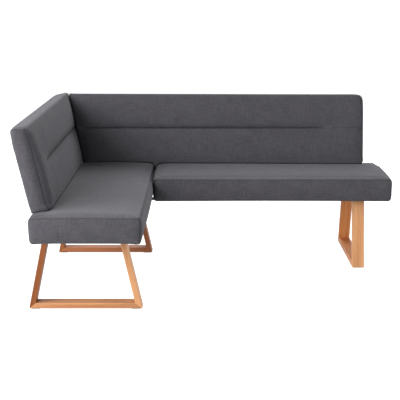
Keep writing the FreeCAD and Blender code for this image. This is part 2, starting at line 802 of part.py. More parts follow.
def seat_base_room(wing):
    """The space inside the padding that the timber base and the springs take."""
    edge = size(base_edge)
    across = size(base_across)
    along = size(lengths[wing]) - 2 * edge
    bottom = size("seat_underside") - size("cover_thickness")
    base = Part.makeBox(across, along, size(base_top) - bottom, Vector(edge, edge, bottom))
    rim = size("foam_rim")
    height = size("spring_wire + clip_play + 2 * clip_sheet + soft_gap")
    recess = Part.makeBox(across - 2 * rim, along - 2 * rim, height,
                          Vector(edge + rim, edge + rim, size(base_top)))
    return base.fuse(recess)


def link_screws(play):
    """The link plates' screws in the right wing's frame, thicker by a play for their holes."""
    rods = []
    half_rail = "rail_thickness / 2"
    for across in link_places():
        for along in ("(-seat_gap - " + base_edge + " - " + half_rail + ")",
                      joined(base_edge, half_rail)):
            for half in ("-", "+"):
                start = Vector(size(across + " " + half + " link_screw_spread / 2"), size(along),
                               size("seat_underside - link_thickness"))
                rods.append(headed_rod(start, Vector(0, 0, 1), "screw_head", "screw_head_height",
                                       "screw_diameter + " + play,
                                       "link_thickness + cover_thickness + link_screw_bite"))
    return rods


def seat_cover(wing):
    """The fabric round the padding, open below inside its flange, with room for what it meets."""
    skin = size("cover_thickness")
    length = size(lengths[wing])
    edge = size(window_edge)
    # The cut for the opening starts under the cover and ends above it
    window = Part.makeBox(size("seat_depth") - 2 * edge, length - 2 * edge, 3 * skin,
                          Vector(edge, edge, size("seat_underside") - skin))
    # Where the end's rounding would draw the cover into the timber base
    inset = size(base_edge)
    base = Part.makeBox(size(base_across), length - 2 * inset, size("rail_height"),
                        Vector(inset, inset, size(base_bottom)))
    cover = seat_form(wing, 0).cut(seat_form(wing, skin)).cut(base).cut(window)
    holes = link_screws("hole_play")
    if wing == "left":
        for hole in holes:
            hole.Placement = between_wings("right", "left").multiply(hole.Placement)
    return cover.cut(Part.makeCompound(holes))


def add_seat_padding(wing):
    foam = seat_form(wing, size("cover_thickness + soft_gap")).cut(seat_base_room(wing))
    cover = seat_cover(wing)
    for slot in bracket_slots(wing):
        foam = foam.cut(slot)
        cover = cover.cut(slot)
    add_shape(wing + "_seat_foam", foam, wing_placement(wing))
    add_shape(wing + "_seat_cover", cover, wing_placement(wing))


# Padded backs

# What is left at the very end of the panels' swell
END_SWELL_SHARE = 0.5


def back_ends(wing):
    """Both ends of a back as (place, tilt up the lean, tilt through the back), in its frame.

    The free end is upright and square. At the corner the left back ends a little inside the
    long back's rear face, and the long back ends against the left back's padded face.
    """
    lean = math.radians(size("back_lean"))
    tilt = math.sin(lean)
    through = math.sin(lean) * math.tan(lean)
    if wing == "left":
        free = (size("left_back_inset"), 0, 0)
        return free, (size("left_seat_length - back_setback"), tilt, through)
    stand_off = size("panel_crown + soft_gap") / math.cos(lean)
    corner = size(back_face + " - seat_depth - seat_gap") + stand_off
    return (corner, -tilt, -through), (size("right_seat_length - long_back_inset"), 0, 0)


def back_section(end, ease, channel, offset):
    """The back's outline in a plane that may be tilted: x up the lean, y towards the sitter."""
    place_along, tilt, through = end
    low = offset - size("back_sink")
    high = size("back_height") - ease * size("back_end_drop") - offset
    face = -ease * size("back_face_draw") - offset
    rear = ease * size("back_rear_draw") + offset - size("back_thickness")
    top_round = size("back_top_round") - offset
    rear_round = size("back_rear_round") - offset
    foot_round = size("back_bottom_round") - offset
    kept = 1 - ease * (1 - END_SWELL_SHARE)
    swell = size("panel_crown") * kept
    crown = size("back_top_crown") * kept
    middle = size("channel_height")
    half = size("channel_width") / 2

    def in_space(point):
        return Vector(place_along + tilt * point.x + through * point.y, point.x, point.y)

    groove = face - channel
    corners = (
        (low, face), (middle - half, face), (middle, groove), (middle + half, face), (high, face),
        (high, rear), (low, rear),
    )
    radii = (foot_round, 0, 0, 0, top_round, rear_round, foot_round)
    # Sides in order: lower padded face, groove, groove, upper padded face, top, rear, foot
    swells = (swell, 0, 0, swell, crown, 0, 0)
    # The wire takes its corners the other way round, so its outline is mirrored and put back
    mirrored_corners = [(x, -y) for x, y in corners]
    return rounded_wire(mirrored_corners, radii, swells,
                        lambda point: in_space(Vector(point.x, -point.y, 0)))


def back_form(wing, offset):
    """The padded back as a closed form in its own frame, at a distance inside its outer skin."""
    start, stop = back_ends(wing)
    steps = rounding_steps(size("back_end_round"), offset)
    trace = size("channel_trace")
    deep = size("channel_depth")
    free = size("channel_free_margin")
    corner = size("channel_corner_margin")
    fade = size("channel_fade")
    margins = (free, corner) if wing == "left" else (corner, free)
    sections = []

    def shifted(end, inwards):
        return end[0] + inwards, end[1], end[2]

    for along, ease in steps:
        sections.append(back_section(shifted(start, along), ease, trace, offset))
    sections.append(back_section(shifted(start, margins[0]), 0, trace, offset))
    sections.append(back_section(shifted(start, margins[0] + fade), 0, deep, offset))
    half_way = tuple((first + last) / 2 for first, last in zip(start, stop))
    sections.append(back_section(half_way, 0, deep, offset))
    sections.append(back_section(shifted(stop, -margins[1] - fade), 0, deep, offset))
    sections.append(back_section(shifted(stop, -margins[1]), 0, trace, offset))
    for along, ease in reversed(steps):
        sections.append(back_section(shifted(stop, -along), ease, trace, offset))
    return Part.makeLoft(sections, True, True)


def seat_stamps(wing):
    """The seats that the wing's back stands on, a soft gap larger, in the back's frame."""
    seats = ("left",) if wing == "left" else ("right", "left")
    stamps = []
    for seat in seats:
        stamp = seat_form(seat, -size("soft_gap"))
        stamp.Placement = between_wings(seat, wing).multiply(stamp.Placement)
        stamp.Placement = back_placement().inverse().multiply(stamp.Placement)
        stamps.append(stamp)
    return stamps


def half_space(depth, towards_sitter):
    """All that lies before or behind a plane in the back, in the back's frame."""
    reach = 2 * size("left_seat_length + right_seat_length")
    box = Part.makeBox(2 * reach, 2 * reach, reach)
    lift = -depth if towards_sitter else -depth - reach
    return box.translated(Vector(-reach, -reach, lift))


def panel_outline(wing):
    """The plywood panel's corners in the back's frame, inside the padding on every side."""
    start, stop = back_ends(wing)
    margin = size("panel_margin")
    low = size("panel_foot")
    high = size("back_height") - margin
    depth = -size(panel_front)
    corners = []
    for end, inwards in ((start, margin), (stop, -margin)):
        for up in (low, high):
            corners.append(Vector(end[0] + inwards + end[1] * up + end[2] * depth, up, 0))
    first_low, first_high, last_low, last_high = corners
    return [first_low, last_low, last_high, first_high]


def panel_block(wing):
    points = panel_outline(wing)
    face = Part.Face(Part.makePolygon(points + points[:1]))
    thickness = size("panel_thickness")
    block = face.extrude(Vector(0, 0, thickness))
    return block.translated(Vector(0, 0, -size(panel_front) - thickness))


def panel_screws(brackets, play):
    """The screws that hold the panel to its brackets, in the back's frame."""
    rods = []
    for along in brackets:
        for up in ("panel_screw_low", "(panel_screw_low + panel_screw_rise)"):
            start = Vector(size(along), size(up), -size(bracket_front))
            rods.append(headed_rod(start, Vector(0, 0, -1), "screw_head + " + play,
                                   "screw_head_height + " + play, "screw_diameter + " + play,
                                   "bracket_thickness + panel_screw_bite + " + play))
    return rods


def add_back(name, wing, brackets):
    skin = size("cover_thickness")
    gap = size("soft_gap")
    outer = back_form(wing, 0)
    inner = back_form(wing, skin)
    core = back_form(wing, skin + gap)
    # Over the seat's crown the cover keeps its thickness under the padding
    for stamp in seat_stamps(wing):
        outer = outer.cut(stamp)
        inner = inner.cut(stamp.translated(Vector(0, skin, 0)))
        core = core.cut(stamp.translated(Vector(0, skin + gap, 0)))
    cover = outer.cut(inner)
    screws = Part.makeCompound(panel_screws(brackets, "hole_play"))
    front = core.common(half_space(size(panel_front), True)).cut(screws)
    rear = core.common(half_space(size(panel_front), False)).cut(panel_block(wing))
    for along in brackets:
        slot = bracket_slot(along)
        slot.Placement = back_placement().inverse().multiply(slot.Placement)
        cover = cover.cut(slot)
        front = front.cut(slot)
    shapes = {
        "cover": cover,
        "front_foam": front,
        "rear_wadding": rear,
        "panel": panel_block(wing).cut(screws),
    }
    for piece, shape in shapes.items():
        add_shape(name + "_" + piece, shape, wing_placement(wing).multiply(back_placement()))


def add_bracket(label, wing, along):
    """A flat steel bar, upright along its seat rail and bent to lean with the back."""
    body = new_body(label)
    sketch = new_sketch(body, label + "_profile", "XZ_Plane")
    bend_rear = ("(" + seat_top + " + (" + back_face + " - " + panel_front + " / cos(back_lean) - "
                 + rail_inner + ") / tan(back_lean))")
    bend_front = ("(" + seat_top + " + (" + back_face + " - " + bracket_front + " / cos(back_lean) - "
                  + rail_inner + " - bracket_thickness) / tan(back_lean))")
    low = "(" + base_bottom + " + bracket_drop)"

    def on_lean(depth):
        across = ("(" + back_face + " - bracket_height * sin(back_lean) - " + depth
                  + " * cos(back_lean))")
        up = "(" + seat_top + " + bracket_height * cos(back_lean) - " + depth + " * sin(back_lean))"
        return across, up

    front = "(" + rail_inner + " + bracket_thickness)"
    draw_outline(sketch, [(rail_inner, low), (front, low), (front, bend_front),
                          on_lean(bracket_front), on_lean(panel_front), (rail_inner, bend_rear)])
    add_pad(body, sketch, "bracket_width", symmetric=True)
    bored = new_sketch(body, label + "_bolt_holes", "YZ_Plane")
    rail_bolt = "(" + base_bottom + " + rail_bolt_low)"
    draw_holes(bored, [("0", rail_bolt), ("0", "(" + rail_bolt + " + rail_bolt_rise)")],
               joined("bolt_diameter", "hole_play"))
    add_pocket(body, bored, front, forwards=True)
    drilled = new_sketch(body, label + "_screw_holes", "XY_Plane")
    drilled.AttachmentOffset = Placement(back_placement())
    draw_holes(drilled, [("0", "panel_screw_low"), ("0", "(panel_screw_low + panel_screw_rise)")],
               joined("screw_diameter", "hole_play"))
    add_pocket(body, drilled, panel_front)
    place(body, wing, "0", along, "0")


def add_back_fixings(name, wing, brackets):
    """The bolts of the brackets in the seat rails, and the screws in the panel."""
    fixings = []
    for along in brackets:
        for up in ("rail_bolt_low", "(rail_bolt_low + rail_bolt_rise)"):
            start = Vector(size(joined(rail_inner, "bracket_thickness")), size(along),
                           size(joined(base_bottom, up)))
            fixings.append(headed_rod(start, Vector(-1, 0, 0), "bolt_head", "bolt_head_height",
                                      "bolt_diameter", "bracket_thickness + rail_bolt_bite"))
    for screw in panel_screws(brackets, "0"):
        screw.Placement = back_placement().multiply(screw.Placement)
        fixings.append(screw)
    add_shape(name + "_fixings", Part.makeCompound(fixings), wing_placement(wing))


def add_links():
    """Two steel plates under the seam, which hang the right seat on the left one."""
    reach = "(seat_gap + 2 * " + rail_inner + ")"
    start = "(-seat_gap - " + rail_inner + ")"
    hole = joined("screw_diameter", "hole_play")
    for name, across in zip(("rear", "front"), link_places()):
        holes = []
        for half in ("-", "+"):
            middle = "(link_width / 2 " + half + " link_screw_spread / 2)"
            holes.append((middle, "rail_thickness / 2"))
            holes.append((middle, "(" + reach + " - rail_thickness / 2)"))
        add_board(name + "_link_plate", "right", ("link_width", reach, "link_thickness"),
                  ("(" + across + " - link_width / 2)", start, "(seat_underside - link_thickness)"),
                  holes, hole, "link_thickness")
    add_shape("link_plate_screws", Part.makeCompound(link_screws("0")), wing_placement("right"))


for frame in frames:
    add_frame(frame)
    add_frame_fixings(frame)
add_glides()
add_seat_base("left", ("front", "corner"), left_brackets)
add_seat_base("right", ("end",), right_brackets)
add_end_rails()
add_dust_cloth("left", ("front", "corner"))
add_dust_cloth("right", ("end",))
for wing in lengths:
    add_springs(wing)
    add_seat_padding(wing)
add_back("left_back", "left", left_brackets)
add_back("long_back", "right", right_brackets + (corner_bracket,))
add_bracket("left_back_front_bracket", "left", left_brackets[0])
add_bracket("left_back_corner_bracket", "left", left_brackets[1])
add_bracket("long_back_corner_bracket", "right", corner_bracket)
add_bracket("long_back_middle_bracket", "right", right_brackets[0])
add_bracket("long_back_end_bracket", "right", right_brackets[1])
add_back_fixings("left_back", "left", left_brackets)
add_back_fixings("long_back", "right", right_brackets + (corner_bracket,))
add_links()

doc.recompute()
for item in doc.Objects:
    if "Invalid" in item.State or "Error" in item.State:
        raise RuntimeError("failed: " + item.Label)
for part in parts:
    if part.Shape.isNull() or not part.Shape.isValid():
        raise RuntimeError("no valid shape: " + part.Label)

os.makedirs("parts", exist_ok=True)
for part in parts:
    part.Shape.exportStep("parts/" + part.Label + ".step")
whole = Part.makeCompound([part.Shape for part in parts])
print("nodes", len(parts), "box", whole.BoundBox)
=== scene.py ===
import json
import math

import bmesh
import bpy
import numpy as np
from mathutils import Matrix, Vector, noise


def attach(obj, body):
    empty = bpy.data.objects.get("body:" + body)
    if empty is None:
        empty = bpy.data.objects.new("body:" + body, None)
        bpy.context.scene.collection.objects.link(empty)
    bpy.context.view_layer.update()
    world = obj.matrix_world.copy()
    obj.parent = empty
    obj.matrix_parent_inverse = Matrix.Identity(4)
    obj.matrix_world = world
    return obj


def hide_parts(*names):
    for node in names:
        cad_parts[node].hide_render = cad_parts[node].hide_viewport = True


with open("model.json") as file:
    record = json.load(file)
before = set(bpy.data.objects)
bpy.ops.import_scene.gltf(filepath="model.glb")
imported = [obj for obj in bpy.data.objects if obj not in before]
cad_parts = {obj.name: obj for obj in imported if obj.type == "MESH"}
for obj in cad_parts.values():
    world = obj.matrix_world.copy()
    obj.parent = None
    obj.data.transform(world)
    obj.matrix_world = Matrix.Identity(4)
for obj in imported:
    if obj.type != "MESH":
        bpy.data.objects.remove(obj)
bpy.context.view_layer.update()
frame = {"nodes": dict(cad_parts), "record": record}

nodes = frame["nodes"]
print("frame loaded:", len(nodes), "nodes")

# Sizes of the bench that several pieces share, in metres
bench = {
    "seatDepth": 0.495,
    "seatUnderside": 0.365,
    "seatThickness": 0.120,
    "seatCrown": 0.008,
    "seatEndCrown": 0.004,
    "seatTopRound": 0.026,
    "leftSeatLength": 1.300,
    "rightSeatLength": 1.238,
    "seatGap": 0.006,
    "backLean": math.radians(12.4),
    "backThickness": 0.087,
    "backHeight": 0.396,
    "backTopRound": 0.034,
    "backRearRound": 0.016,
    "leftBackInset": 0.090,
    "longBackInset": 0.084,
    "backSetback": 0.005,
    "backSink": 0.012,
    "backClearance": 0.0045,
}

lean = bench["backLean"]
seatTop = bench["seatUnderside"] + bench["seatThickness"]
backFace = bench["backThickness"] / math.cos(lean)
outermost = (
    backFace
    - (bench["backHeight"] - bench["backRearRound"]) * math.sin(lean)
    - (bench["backThickness"] - bench["backRearRound"]) * math.cos(lean)
    - bench["backRearRound"]
)
middle = Vector((
    (outermost + bench["seatDepth"] + bench["seatGap"] + bench["rightSeatLength"]) / 2,
    (bench["leftSeatLength"] - outermost) / 2,
    0,
))
rightCorner = Vector((bench["seatDepth"] + bench["seatGap"], bench["leftSeatLength"], 0))

# Keeps a division by a length away from zero
tiny = 1e-9

# Each wing's frame: x across the seat from its outer edge, y along the wing, z up
leftWing = Matrix.Translation(-middle)
rightWing = Matrix.Translation(rightCorner - middle) @ Matrix.Rotation(-math.pi / 2, 4, "Z")

# A back's frame in its wing: x towards the sitter, y along the wing, z up the lean
leanFrame = Matrix((
    (math.cos(lean), 0, -math.sin(lean), backFace),
    (0, 1, 0, 0),
    (math.sin(lean), 0, math.cos(lean), seatTop),
    (0, 0, 0, 1),
))


def smooth(share):
    share = np.clip(share, 0, 1)
    return share * share * (3 - 2 * share)


def moved(points, matrix):
    turn = np.array(matrix.to_3x3())
    return points @ turn.T + np.array(matrix.translation)


def deselectAll():
    bpy.ops.object.select_all(action="DESELECT")


# Materials

def newMaterial(name):
    material = bpy.data.materials.new(name)
    material.use_nodes = True
    shader = material.node_tree.nodes["Principled BSDF"]
    return material, material.node_tree, shader


def addNode(tree, kind, **values):
    node = tree.nodes.new(kind)
    for key, value in values.items():
        setattr(node, key, value)
    return node


def link(tree, source, target):
    tree.links.new(source, target)


# A socket gets either a constant or a link
def give(tree, value, socket):
    if isinstance(value, (int, float, tuple)):
        socket.default_value = value
    else:
        link(tree, value, socket)


def math2(tree, operation, first, second=None):
    node = addNode(tree, "ShaderNodeMath", operation=operation)
    give(tree, first, node.inputs[0])
    if second is not None:
        give(tree, second, node.inputs[1])
    return node.outputs[0]


def newGroup(name, inputs, outputs):
    group = bpy.data.node_groups.new(name, "ShaderNodeTree")
    for label, kind in inputs:
        group.interface.new_socket(label, in_out="INPUT", socket_type=kind)
    for label, kind in outputs:
        group.interface.new_socket(label, in_out="OUTPUT", socket_type=kind)
    return group, group.nodes.new("NodeGroupInput"), group.nodes.new("NodeGroupOutput")


def scaledNoise(tree, vector, scale, detail, stretch=(1, 1, 1)):
    mapping = addNode(tree, "ShaderNodeMapping")
    mapping.inputs["Scale"].default_value = stretch
    link(tree, vector, mapping.inputs["Vector"])
    pattern = addNode(tree, "ShaderNodeTexNoise")
    pattern.inputs["Scale"].default_value = scale
    pattern.inputs["Detail"].default_value = detail
    link(tree, mapping.outputs[0], pattern.inputs["Vector"])
    return pattern.outputs["Fac"]


def ramp(tree, value, low, high):
    node = addNode(tree, "ShaderNodeMapRange")
    node.inputs["From Min"].default_value = low
    node.inputs["From Max"].default_value = high
    link(tree, value, node.inputs["Value"])
    return node.outputs[0]


def weighted(tree, parts):
    total = 0.0
    for share, value in parts:
        total = math2(tree, "ADD", total, math2(tree, "MULTIPLY", value, share))
    return total


# Places of the colour mixer's sockets among all that the node has
mixSockets = {"share": 0, "first": 6, "second": 7, "result": 2}


def mixColours(tree, share, first, second):
    node = addNode(tree, "ShaderNodeMix", data_type="RGBA")
    for name, value in (("share", share), ("first", first), ("second", second)):
        give(tree, value, node.inputs[mixSockets[name]])
    return node.outputs[mixSockets["result"]]


# Thread tones, and the sizes of the threads, slubs and cloudy patches
weave = {
    "threadPitch": 0.0011,
    "dark": (0.037, 0.035, 0.040, 1),
    "light": (0.086, 0.083, 0.094, 1),
    # Painted shade: the dark colour, and its largest share, that darken the cloth along the seam lines
    # and in the crevices, where shade falls
    "paintedShadeColour": (0.010, 0.010, 0.012, 1),
    "paintedShadeShare": 0.80,
    "slubAlong": (18, 260, 18),
    "slubAcross": (260, 18, 18),
    "slubDetail": 3.0,
    "cloudScale": 14.0,
    "cloudDetail": 4.0,
    "fleckScale": 95.0,
    "fleckDetail": 2.0,
    "slubShare": 0.62,
    "cloudShare": 0.17,
    "fleckShare": 0.21,
    "toneLow": 0.36,
    "toneHigh": 0.64,
    "threadShare": 0.20,
    "slubHeight": 1.2,
    "bump": 0.35,
    "bumpDepth": 0.0004,
    "roughness": 0.92,
    "specular": 0.25,
    "sheen": 0.12,
    "sheenRoughness": 0.45,
    "sheenTint": (0.82, 0.83, 0.88, 1),
}


def buildWeave():
    group, given, result = newGroup(
        "plainWeave",
        [
            ("Vector", "NodeSocketVector"),
            ("Pitch", "NodeSocketFloat"),
            ("Dark", "NodeSocketColor"),
            ("Light", "NodeSocketColor"),
            ("Seam", "NodeSocketFloat"),
        ],
        [("Color", "NodeSocketColor"), ("Height", "NodeSocketFloat")],
    )
    vector = given.outputs["Vector"]
    split = addNode(group, "ShaderNodeSeparateXYZ")
    link(group, vector, split.inputs[0])
    across = math2(group, "DIVIDE", split.outputs[0], given.outputs["Pitch"])
    along = math2(group, "DIVIDE", split.outputs[1], given.outputs["Pitch"])
    sineAcross = math2(group, "SINE", math2(group, "MULTIPLY", across, math.pi))
    sineAlong = math2(group, "SINE", math2(group, "MULTIPLY", along, math.pi))
    over = math2(group, "GREATER_THAN", math2(group, "MULTIPLY", sineAcross, sineAlong), 0.0)
    under = math2(group, "SUBTRACT", 1.0, over)
    warp = math2(group, "MULTIPLY", math2(group, "ABSOLUTE", sineAcross), over)
    weft = math2(group, "MULTIPLY", math2(group, "ABSOLUTE", sineAlong), under)
    threads = math2(group, "ADD", warp, weft)
    # Slubs: thicker stretches of thread, along both thread directions
    slubAlong = scaledNoise(group, vector, 1.0, weave["slubDetail"], weave["slubAlong"])
    slubAcross = scaledNoise(group, vector, 1.0, weave["slubDetail"], weave["slubAcross"])
    cloud = scaledNoise(group, vector, weave["cloudScale"], weave["cloudDetail"])
    fleck = scaledNoise(group, vector, weave["fleckScale"], weave["fleckDetail"])
    slubs = weighted(group, ((0.5, slubAlong), (0.5, slubAcross)))
    tone = weighted(group, (
        (weave["slubShare"], slubs),
        (weave["cloudShare"], cloud),
        (weave["fleckShare"], fleck),
    ))
    tone = ramp(group, tone, weave["toneLow"], weave["toneHigh"])
    tone = weighted(group, ((1 - weave["threadShare"], tone), (weave["threadShare"], threads)))
    colour = mixColours(group, tone, given.outputs["Dark"], given.outputs["Light"])
    # Painted shade: the cloth's colour is mixed towards the dark shade colour along the seam lines and
    # in the crevices
    paintedShadeMask = math2(group, "MULTIPLY", given.outputs["Seam"], weave["paintedShadeShare"])
    link(group, mixColours(group, paintedShadeMask, colour, weave["paintedShadeColour"]), result.inputs["Color"])
    height = weighted(group, ((1.0, threads), (weave["slubHeight"], slubs)))
    link(group, height, result.inputs["Height"])
    return group


weaveGroup = buildWeave()


def makeFabric(name):
    material, tree, shader = newMaterial(name)
    place = addNode(tree, "ShaderNodeUVMap", uv_map="cloth")
    # The painted shade of the seam lines and crevices, read from the cushions' points
    paintedShade = addNode(tree, "ShaderNodeAttribute", attribute_name="paintedShade")
    cloth = addNode(tree, "ShaderNodeGroup")
    cloth.node_tree = weaveGroup
    cloth.inputs["Dark"].default_value = weave["dark"]
    cloth.inputs["Light"].default_value = weave["light"]
    cloth.inputs["Pitch"].default_value = weave["threadPitch"]
    link(tree, place.outputs["UV"], cloth.inputs["Vector"])
    link(tree, paintedShade.outputs["Fac"], cloth.inputs["Seam"])
    link(tree, cloth.outputs["Color"], shader.inputs["Base Color"])
    bump = addNode(tree, "ShaderNodeBump")
    bump.inputs["Strength"].default_value = weave["bump"]
    bump.inputs["Distance"].default_value = weave["bumpDepth"]
    link(tree, cloth.outputs["Height"], bump.inputs["Height"])
    link(tree, bump.outputs[0], shader.inputs["Normal"])
    shader.inputs["Roughness"].default_value = weave["roughness"]
    shader.inputs["Specular IOR Level"].default_value = weave["specular"]
    shader.inputs["Sheen Weight"].default_value = weave["sheen"]
    shader.inputs["Sheen Roughness"].default_value = weave["sheenRoughness"]
    shader.inputs["Sheen Tint"].default_value = weave["sheenTint"]
    return material


# Oak grain: wide bands, fine streaks and pores run along x, and slow patches lie over them
oak = {
    "bandStretch": (2.2, 70, 70),
    "bandDetail": 5.0,
    "bandLow": 0.36,
    "bandHigh": 0.66,
    "streakStretch": (9, 420, 420),
    "streakDetail": 4.0,
    "patchScale": 3.2,
    "patchStretch": (1, 3, 3),
    "patchDetail": 2.0,
    "poreStretch": (60, 1900, 1900),
    "poreDetail": 2.0,
    "poreLow": 0.62,
    "poreHigh": 0.70,
    "bandShare": 0.55,
    "streakShare": 0.30,
    "patchShare": 0.35,
    "poreShare": 0.55,
    "toneLow": 0.25,
    "toneHigh": 0.95,
    "smoothest": -2.0,
    "roughest": 3.0,
    "pore": (0.210, 0.078, 0.030, 1),
    "specular": 0.32,
    "bump": 0.25,
    "bumpDepth": 0.0003,
}

# Lighter and darker grain of each board tone. The tones are partly the oak's own variation from board
# to board and partly painted light and shade: the two darkest paint the shade on the corner frame under
# the seats and on the front frame's outer leg, whose shaded inner side faces the camera; the bright
# tone paints the light on the lit legs, and the amber one is brightened with painted light on the
# shaded end-frame boards
oakTones = {
    "pale": ((0.555, 0.276, 0.126, 1), (0.368, 0.146, 0.057, 1)),
    "light": ((0.735, 0.385, 0.185, 1), (0.535, 0.236, 0.098, 1)),
    "amberLit": ((0.670, 0.265, 0.090, 1), (0.490, 0.165, 0.048, 1)),
    "warmShaded": ((0.310, 0.110, 0.040, 1), (0.205, 0.060, 0.018, 1)),
    "ruddyShaded": ((0.232, 0.068, 0.012, 1), (0.158, 0.040, 0.006, 1)),
}


def buildOakGroup():
    group, given, result = newGroup(
        "oakGrain",
        [
            ("Vector", "NodeSocketVector"),
            ("Light", "NodeSocketColor"),
            ("Dark", "NodeSocketColor"),
            ("Pore", "NodeSocketColor"),
        ],
        [("Color", "NodeSocketColor"), ("Height", "NodeSocketFloat"), ("Roughness", "NodeSocketFloat")],
    )
    vector = given.outputs["Vector"]
    bands = scaledNoise(group, vector, 1.0, oak["bandDetail"], oak["bandStretch"])
    bands = ramp(group, bands, oak["bandLow"], oak["bandHigh"])
    streaks = scaledNoise(group, vector, 1.0, oak["streakDetail"], oak["streakStretch"])
    patches = scaledNoise(group, vector, oak["patchScale"], oak["patchDetail"], oak["patchStretch"])
    pores = scaledNoise(group, vector, 1.0, oak["poreDetail"], oak["poreStretch"])
    pores = ramp(group, pores, oak["poreLow"], oak["poreHigh"])
    tone = weighted(group, (
        (oak["bandShare"], bands),
        (oak["streakShare"], streaks),
        (oak["patchShare"], patches),
    ))
    tone = ramp(group, tone, oak["toneLow"], oak["toneHigh"])
    colour = mixColours(group, tone, given.outputs["Light"], given.outputs["Dark"])
    poreMask = math2(group, "MULTIPLY", pores, oak["poreShare"])
    colour = mixColours(group, poreMask, colour, given.outputs["Pore"])
    link(group, colour, result.inputs["Color"])
    link(group, math2(group, "SUBTRACT", streaks, pores), result.inputs["Height"])
    link(group, ramp(group, streaks, oak["smoothest"], oak["roughest"]), result.inputs["Roughness"])
    return group


oakGroup = buildOakGroup()


def makeWood(name, turn, shift, light, dark, pore):
    material, tree, shader = newMaterial(name)
    place = addNode(tree, "ShaderNodeTexCoord")
    mapping = addNode(tree, "ShaderNodeMapping")
    mapping.inputs["Rotation"].default_value = turn
    mapping.inputs["Location"].default_value = shift
    link(tree, place.outputs["Object"], mapping.inputs["Vector"])
    grain = addNode(tree, "ShaderNodeGroup")
    grain.node_tree = oakGroup
    grain.inputs["Light"].default_value = light
    grain.inputs["Dark"].default_value = dark
    grain.inputs["Pore"].default_value = pore
    link(tree, mapping.outputs[0], grain.inputs["Vector"])
    link(tree, grain.outputs["Color"], shader.inputs["Base Color"])
    link(tree, grain.outputs["Roughness"], shader.inputs["Roughness"])
    bump = addNode(tree, "ShaderNodeBump")
    bump.inputs["Strength"].default_value = oak["bump"]
    bump.inputs["Distance"].default_value = oak["bumpDepth"]
    link(tree, grain.outputs["Height"], bump.inputs["Height"])
    link(tree, bump.outputs[0], shader.inputs["Normal"])
    shader.inputs["Specular IOR Level"].default_value = oak["specular"]
    return material


# Speckle of the plain finishes: fine grains over wide clouds
speckle = {
    "fineDetail": 4.0,
    "wideScale": 12.0,
    "wideDetail": 3.0,
    "fineShare": 0.6,
    "toneLow": 0.3,
    "toneHigh": 0.7,
    "bump": 0.4,
    "bumpDepth": 0.0002,
}


def buildMottleGroup():
    group, given, result = newGroup(
        "mottle",
        [
            ("Scale", "NodeSocketFloat"),
            ("Dark", "NodeSocketColor"),
            ("Light", "NodeSocketColor"),
            ("Smooth", "NodeSocketFloat"),
            ("Rough", "NodeSocketFloat"),
        ],
        [("Color", "NodeSocketColor"), ("Height", "NodeSocketFloat"), ("Roughness", "NodeSocketFloat")],
    )
    place = addNode(group, "ShaderNodeTexCoord")
    fine = addNode(group, "ShaderNodeTexNoise")
    fine.inputs["Detail"].default_value = speckle["fineDetail"]
    link(group, place.outputs["Object"], fine.inputs["Vector"])
    link(group, given.outputs["Scale"], fine.inputs["Scale"])
    wide = scaledNoise(group, place.outputs["Object"], speckle["wideScale"], speckle["wideDetail"])
    fineShare = speckle["fineShare"]
    tone = weighted(group, ((fineShare, fine.outputs["Fac"]), (1 - fineShare, wide)))
    tone = ramp(group, tone, speckle["toneLow"], speckle["toneHigh"])
    colour = mixColours(group, tone, given.outputs["Dark"], given.outputs["Light"])
    link(group, colour, result.inputs["Color"])
    link(group, fine.outputs["Fac"], result.inputs["Height"])
    spread = math2(group, "SUBTRACT", given.outputs["Rough"], given.outputs["Smooth"])
    spread = math2(group, "MULTIPLY", tone, spread)
    link(group, math2(group, "ADD", given.outputs["Smooth"], spread), result.inputs["Roughness"])
    return group


mottleGroup = buildMottleGroup()


def makeMottled(name, scale, dark, light, rough, metallic=0.0):
    material, tree, shader = newMaterial(name)
    mottle = addNode(tree, "ShaderNodeGroup")
    mottle.node_tree = mottleGroup
    mottle.inputs["Scale"].default_value = scale
    mottle.inputs["Dark"].default_value = dark
    mottle.inputs["Light"].default_value = light
    mottle.inputs["Smooth"].default_value = rough[0]
    mottle.inputs["Rough"].default_value = rough[1]
    link(tree, mottle.outputs["Color"], shader.inputs["Base Color"])
    link(tree, mottle.outputs["Roughness"], shader.inputs["Roughness"])
    bump = addNode(tree, "ShaderNodeBump")
    bump.inputs["Strength"].default_value = speckle["bump"]
    bump.inputs["Distance"].default_value = speckle["bumpDepth"]
    link(tree, mottle.outputs["Height"], bump.inputs["Height"])
    link(tree, bump.outputs[0], shader.inputs["Normal"])
    shader.inputs["Metallic"].default_value = metallic
    return material


fabric = makeFabric("greyWeave")
print("materials built")


# Padded pieces

cushion = {
    "pitch": 0.014,
    "besideMarks": (0.0, 0.0025, 0.006, 0.011, 0.018),
    "closestCuts": 0.0012,
    "onLine": 0.0005,
    "topBlend": 0.050,
    "bottomBlend": 0.040,
    "quality": 4,
    "mass": 0.3,
    "stretchStiffness": 20,
    "shearStiffness": 8,
    "bendStiffness": 0.8,
    "pressure": 4.0,
    "frames": 20,
    "cap": 0.005,
    "slack": -0.002,
    "looseReach": 0.055,
    "seamDepth": 0.0018,
    "seamWidth": 0.0022,
    "shoulderPlace": 0.007,
    "shoulderWidth": 0.004,
    "shoulderHeight": 0.0007,
    "puckerDepth": 0.0014,
    "puckerReach": 0.020,
    "puckerPitch": 75.0,
    # Width and share of the painted shade along the seam lines
    "shadeWidth": 0.0020,
    "shadeShare": 0.85,
    "unshaded": 9.0,
}


def cutLines(low, high, pitch, marks):
    lines = {low, high}
    for mark in marks:
        for offset in cushion["besideMarks"]:
            for place in (mark - offset, mark + offset):
                if low < place < high:
                    lines.add(place)
    lines = sorted(lines)
    kept = [lines[0]]
    for place in lines[1:]:
        if place - kept[-1] > cushion["closestCuts"]:
            kept.append(place)
    full = []
    for start, stop in zip(kept, kept[1:]):
        count = max(1, round((stop - start) / pitch))
        full += [start + (stop - start) * step / count for step in range(count)]
    return full[1:]


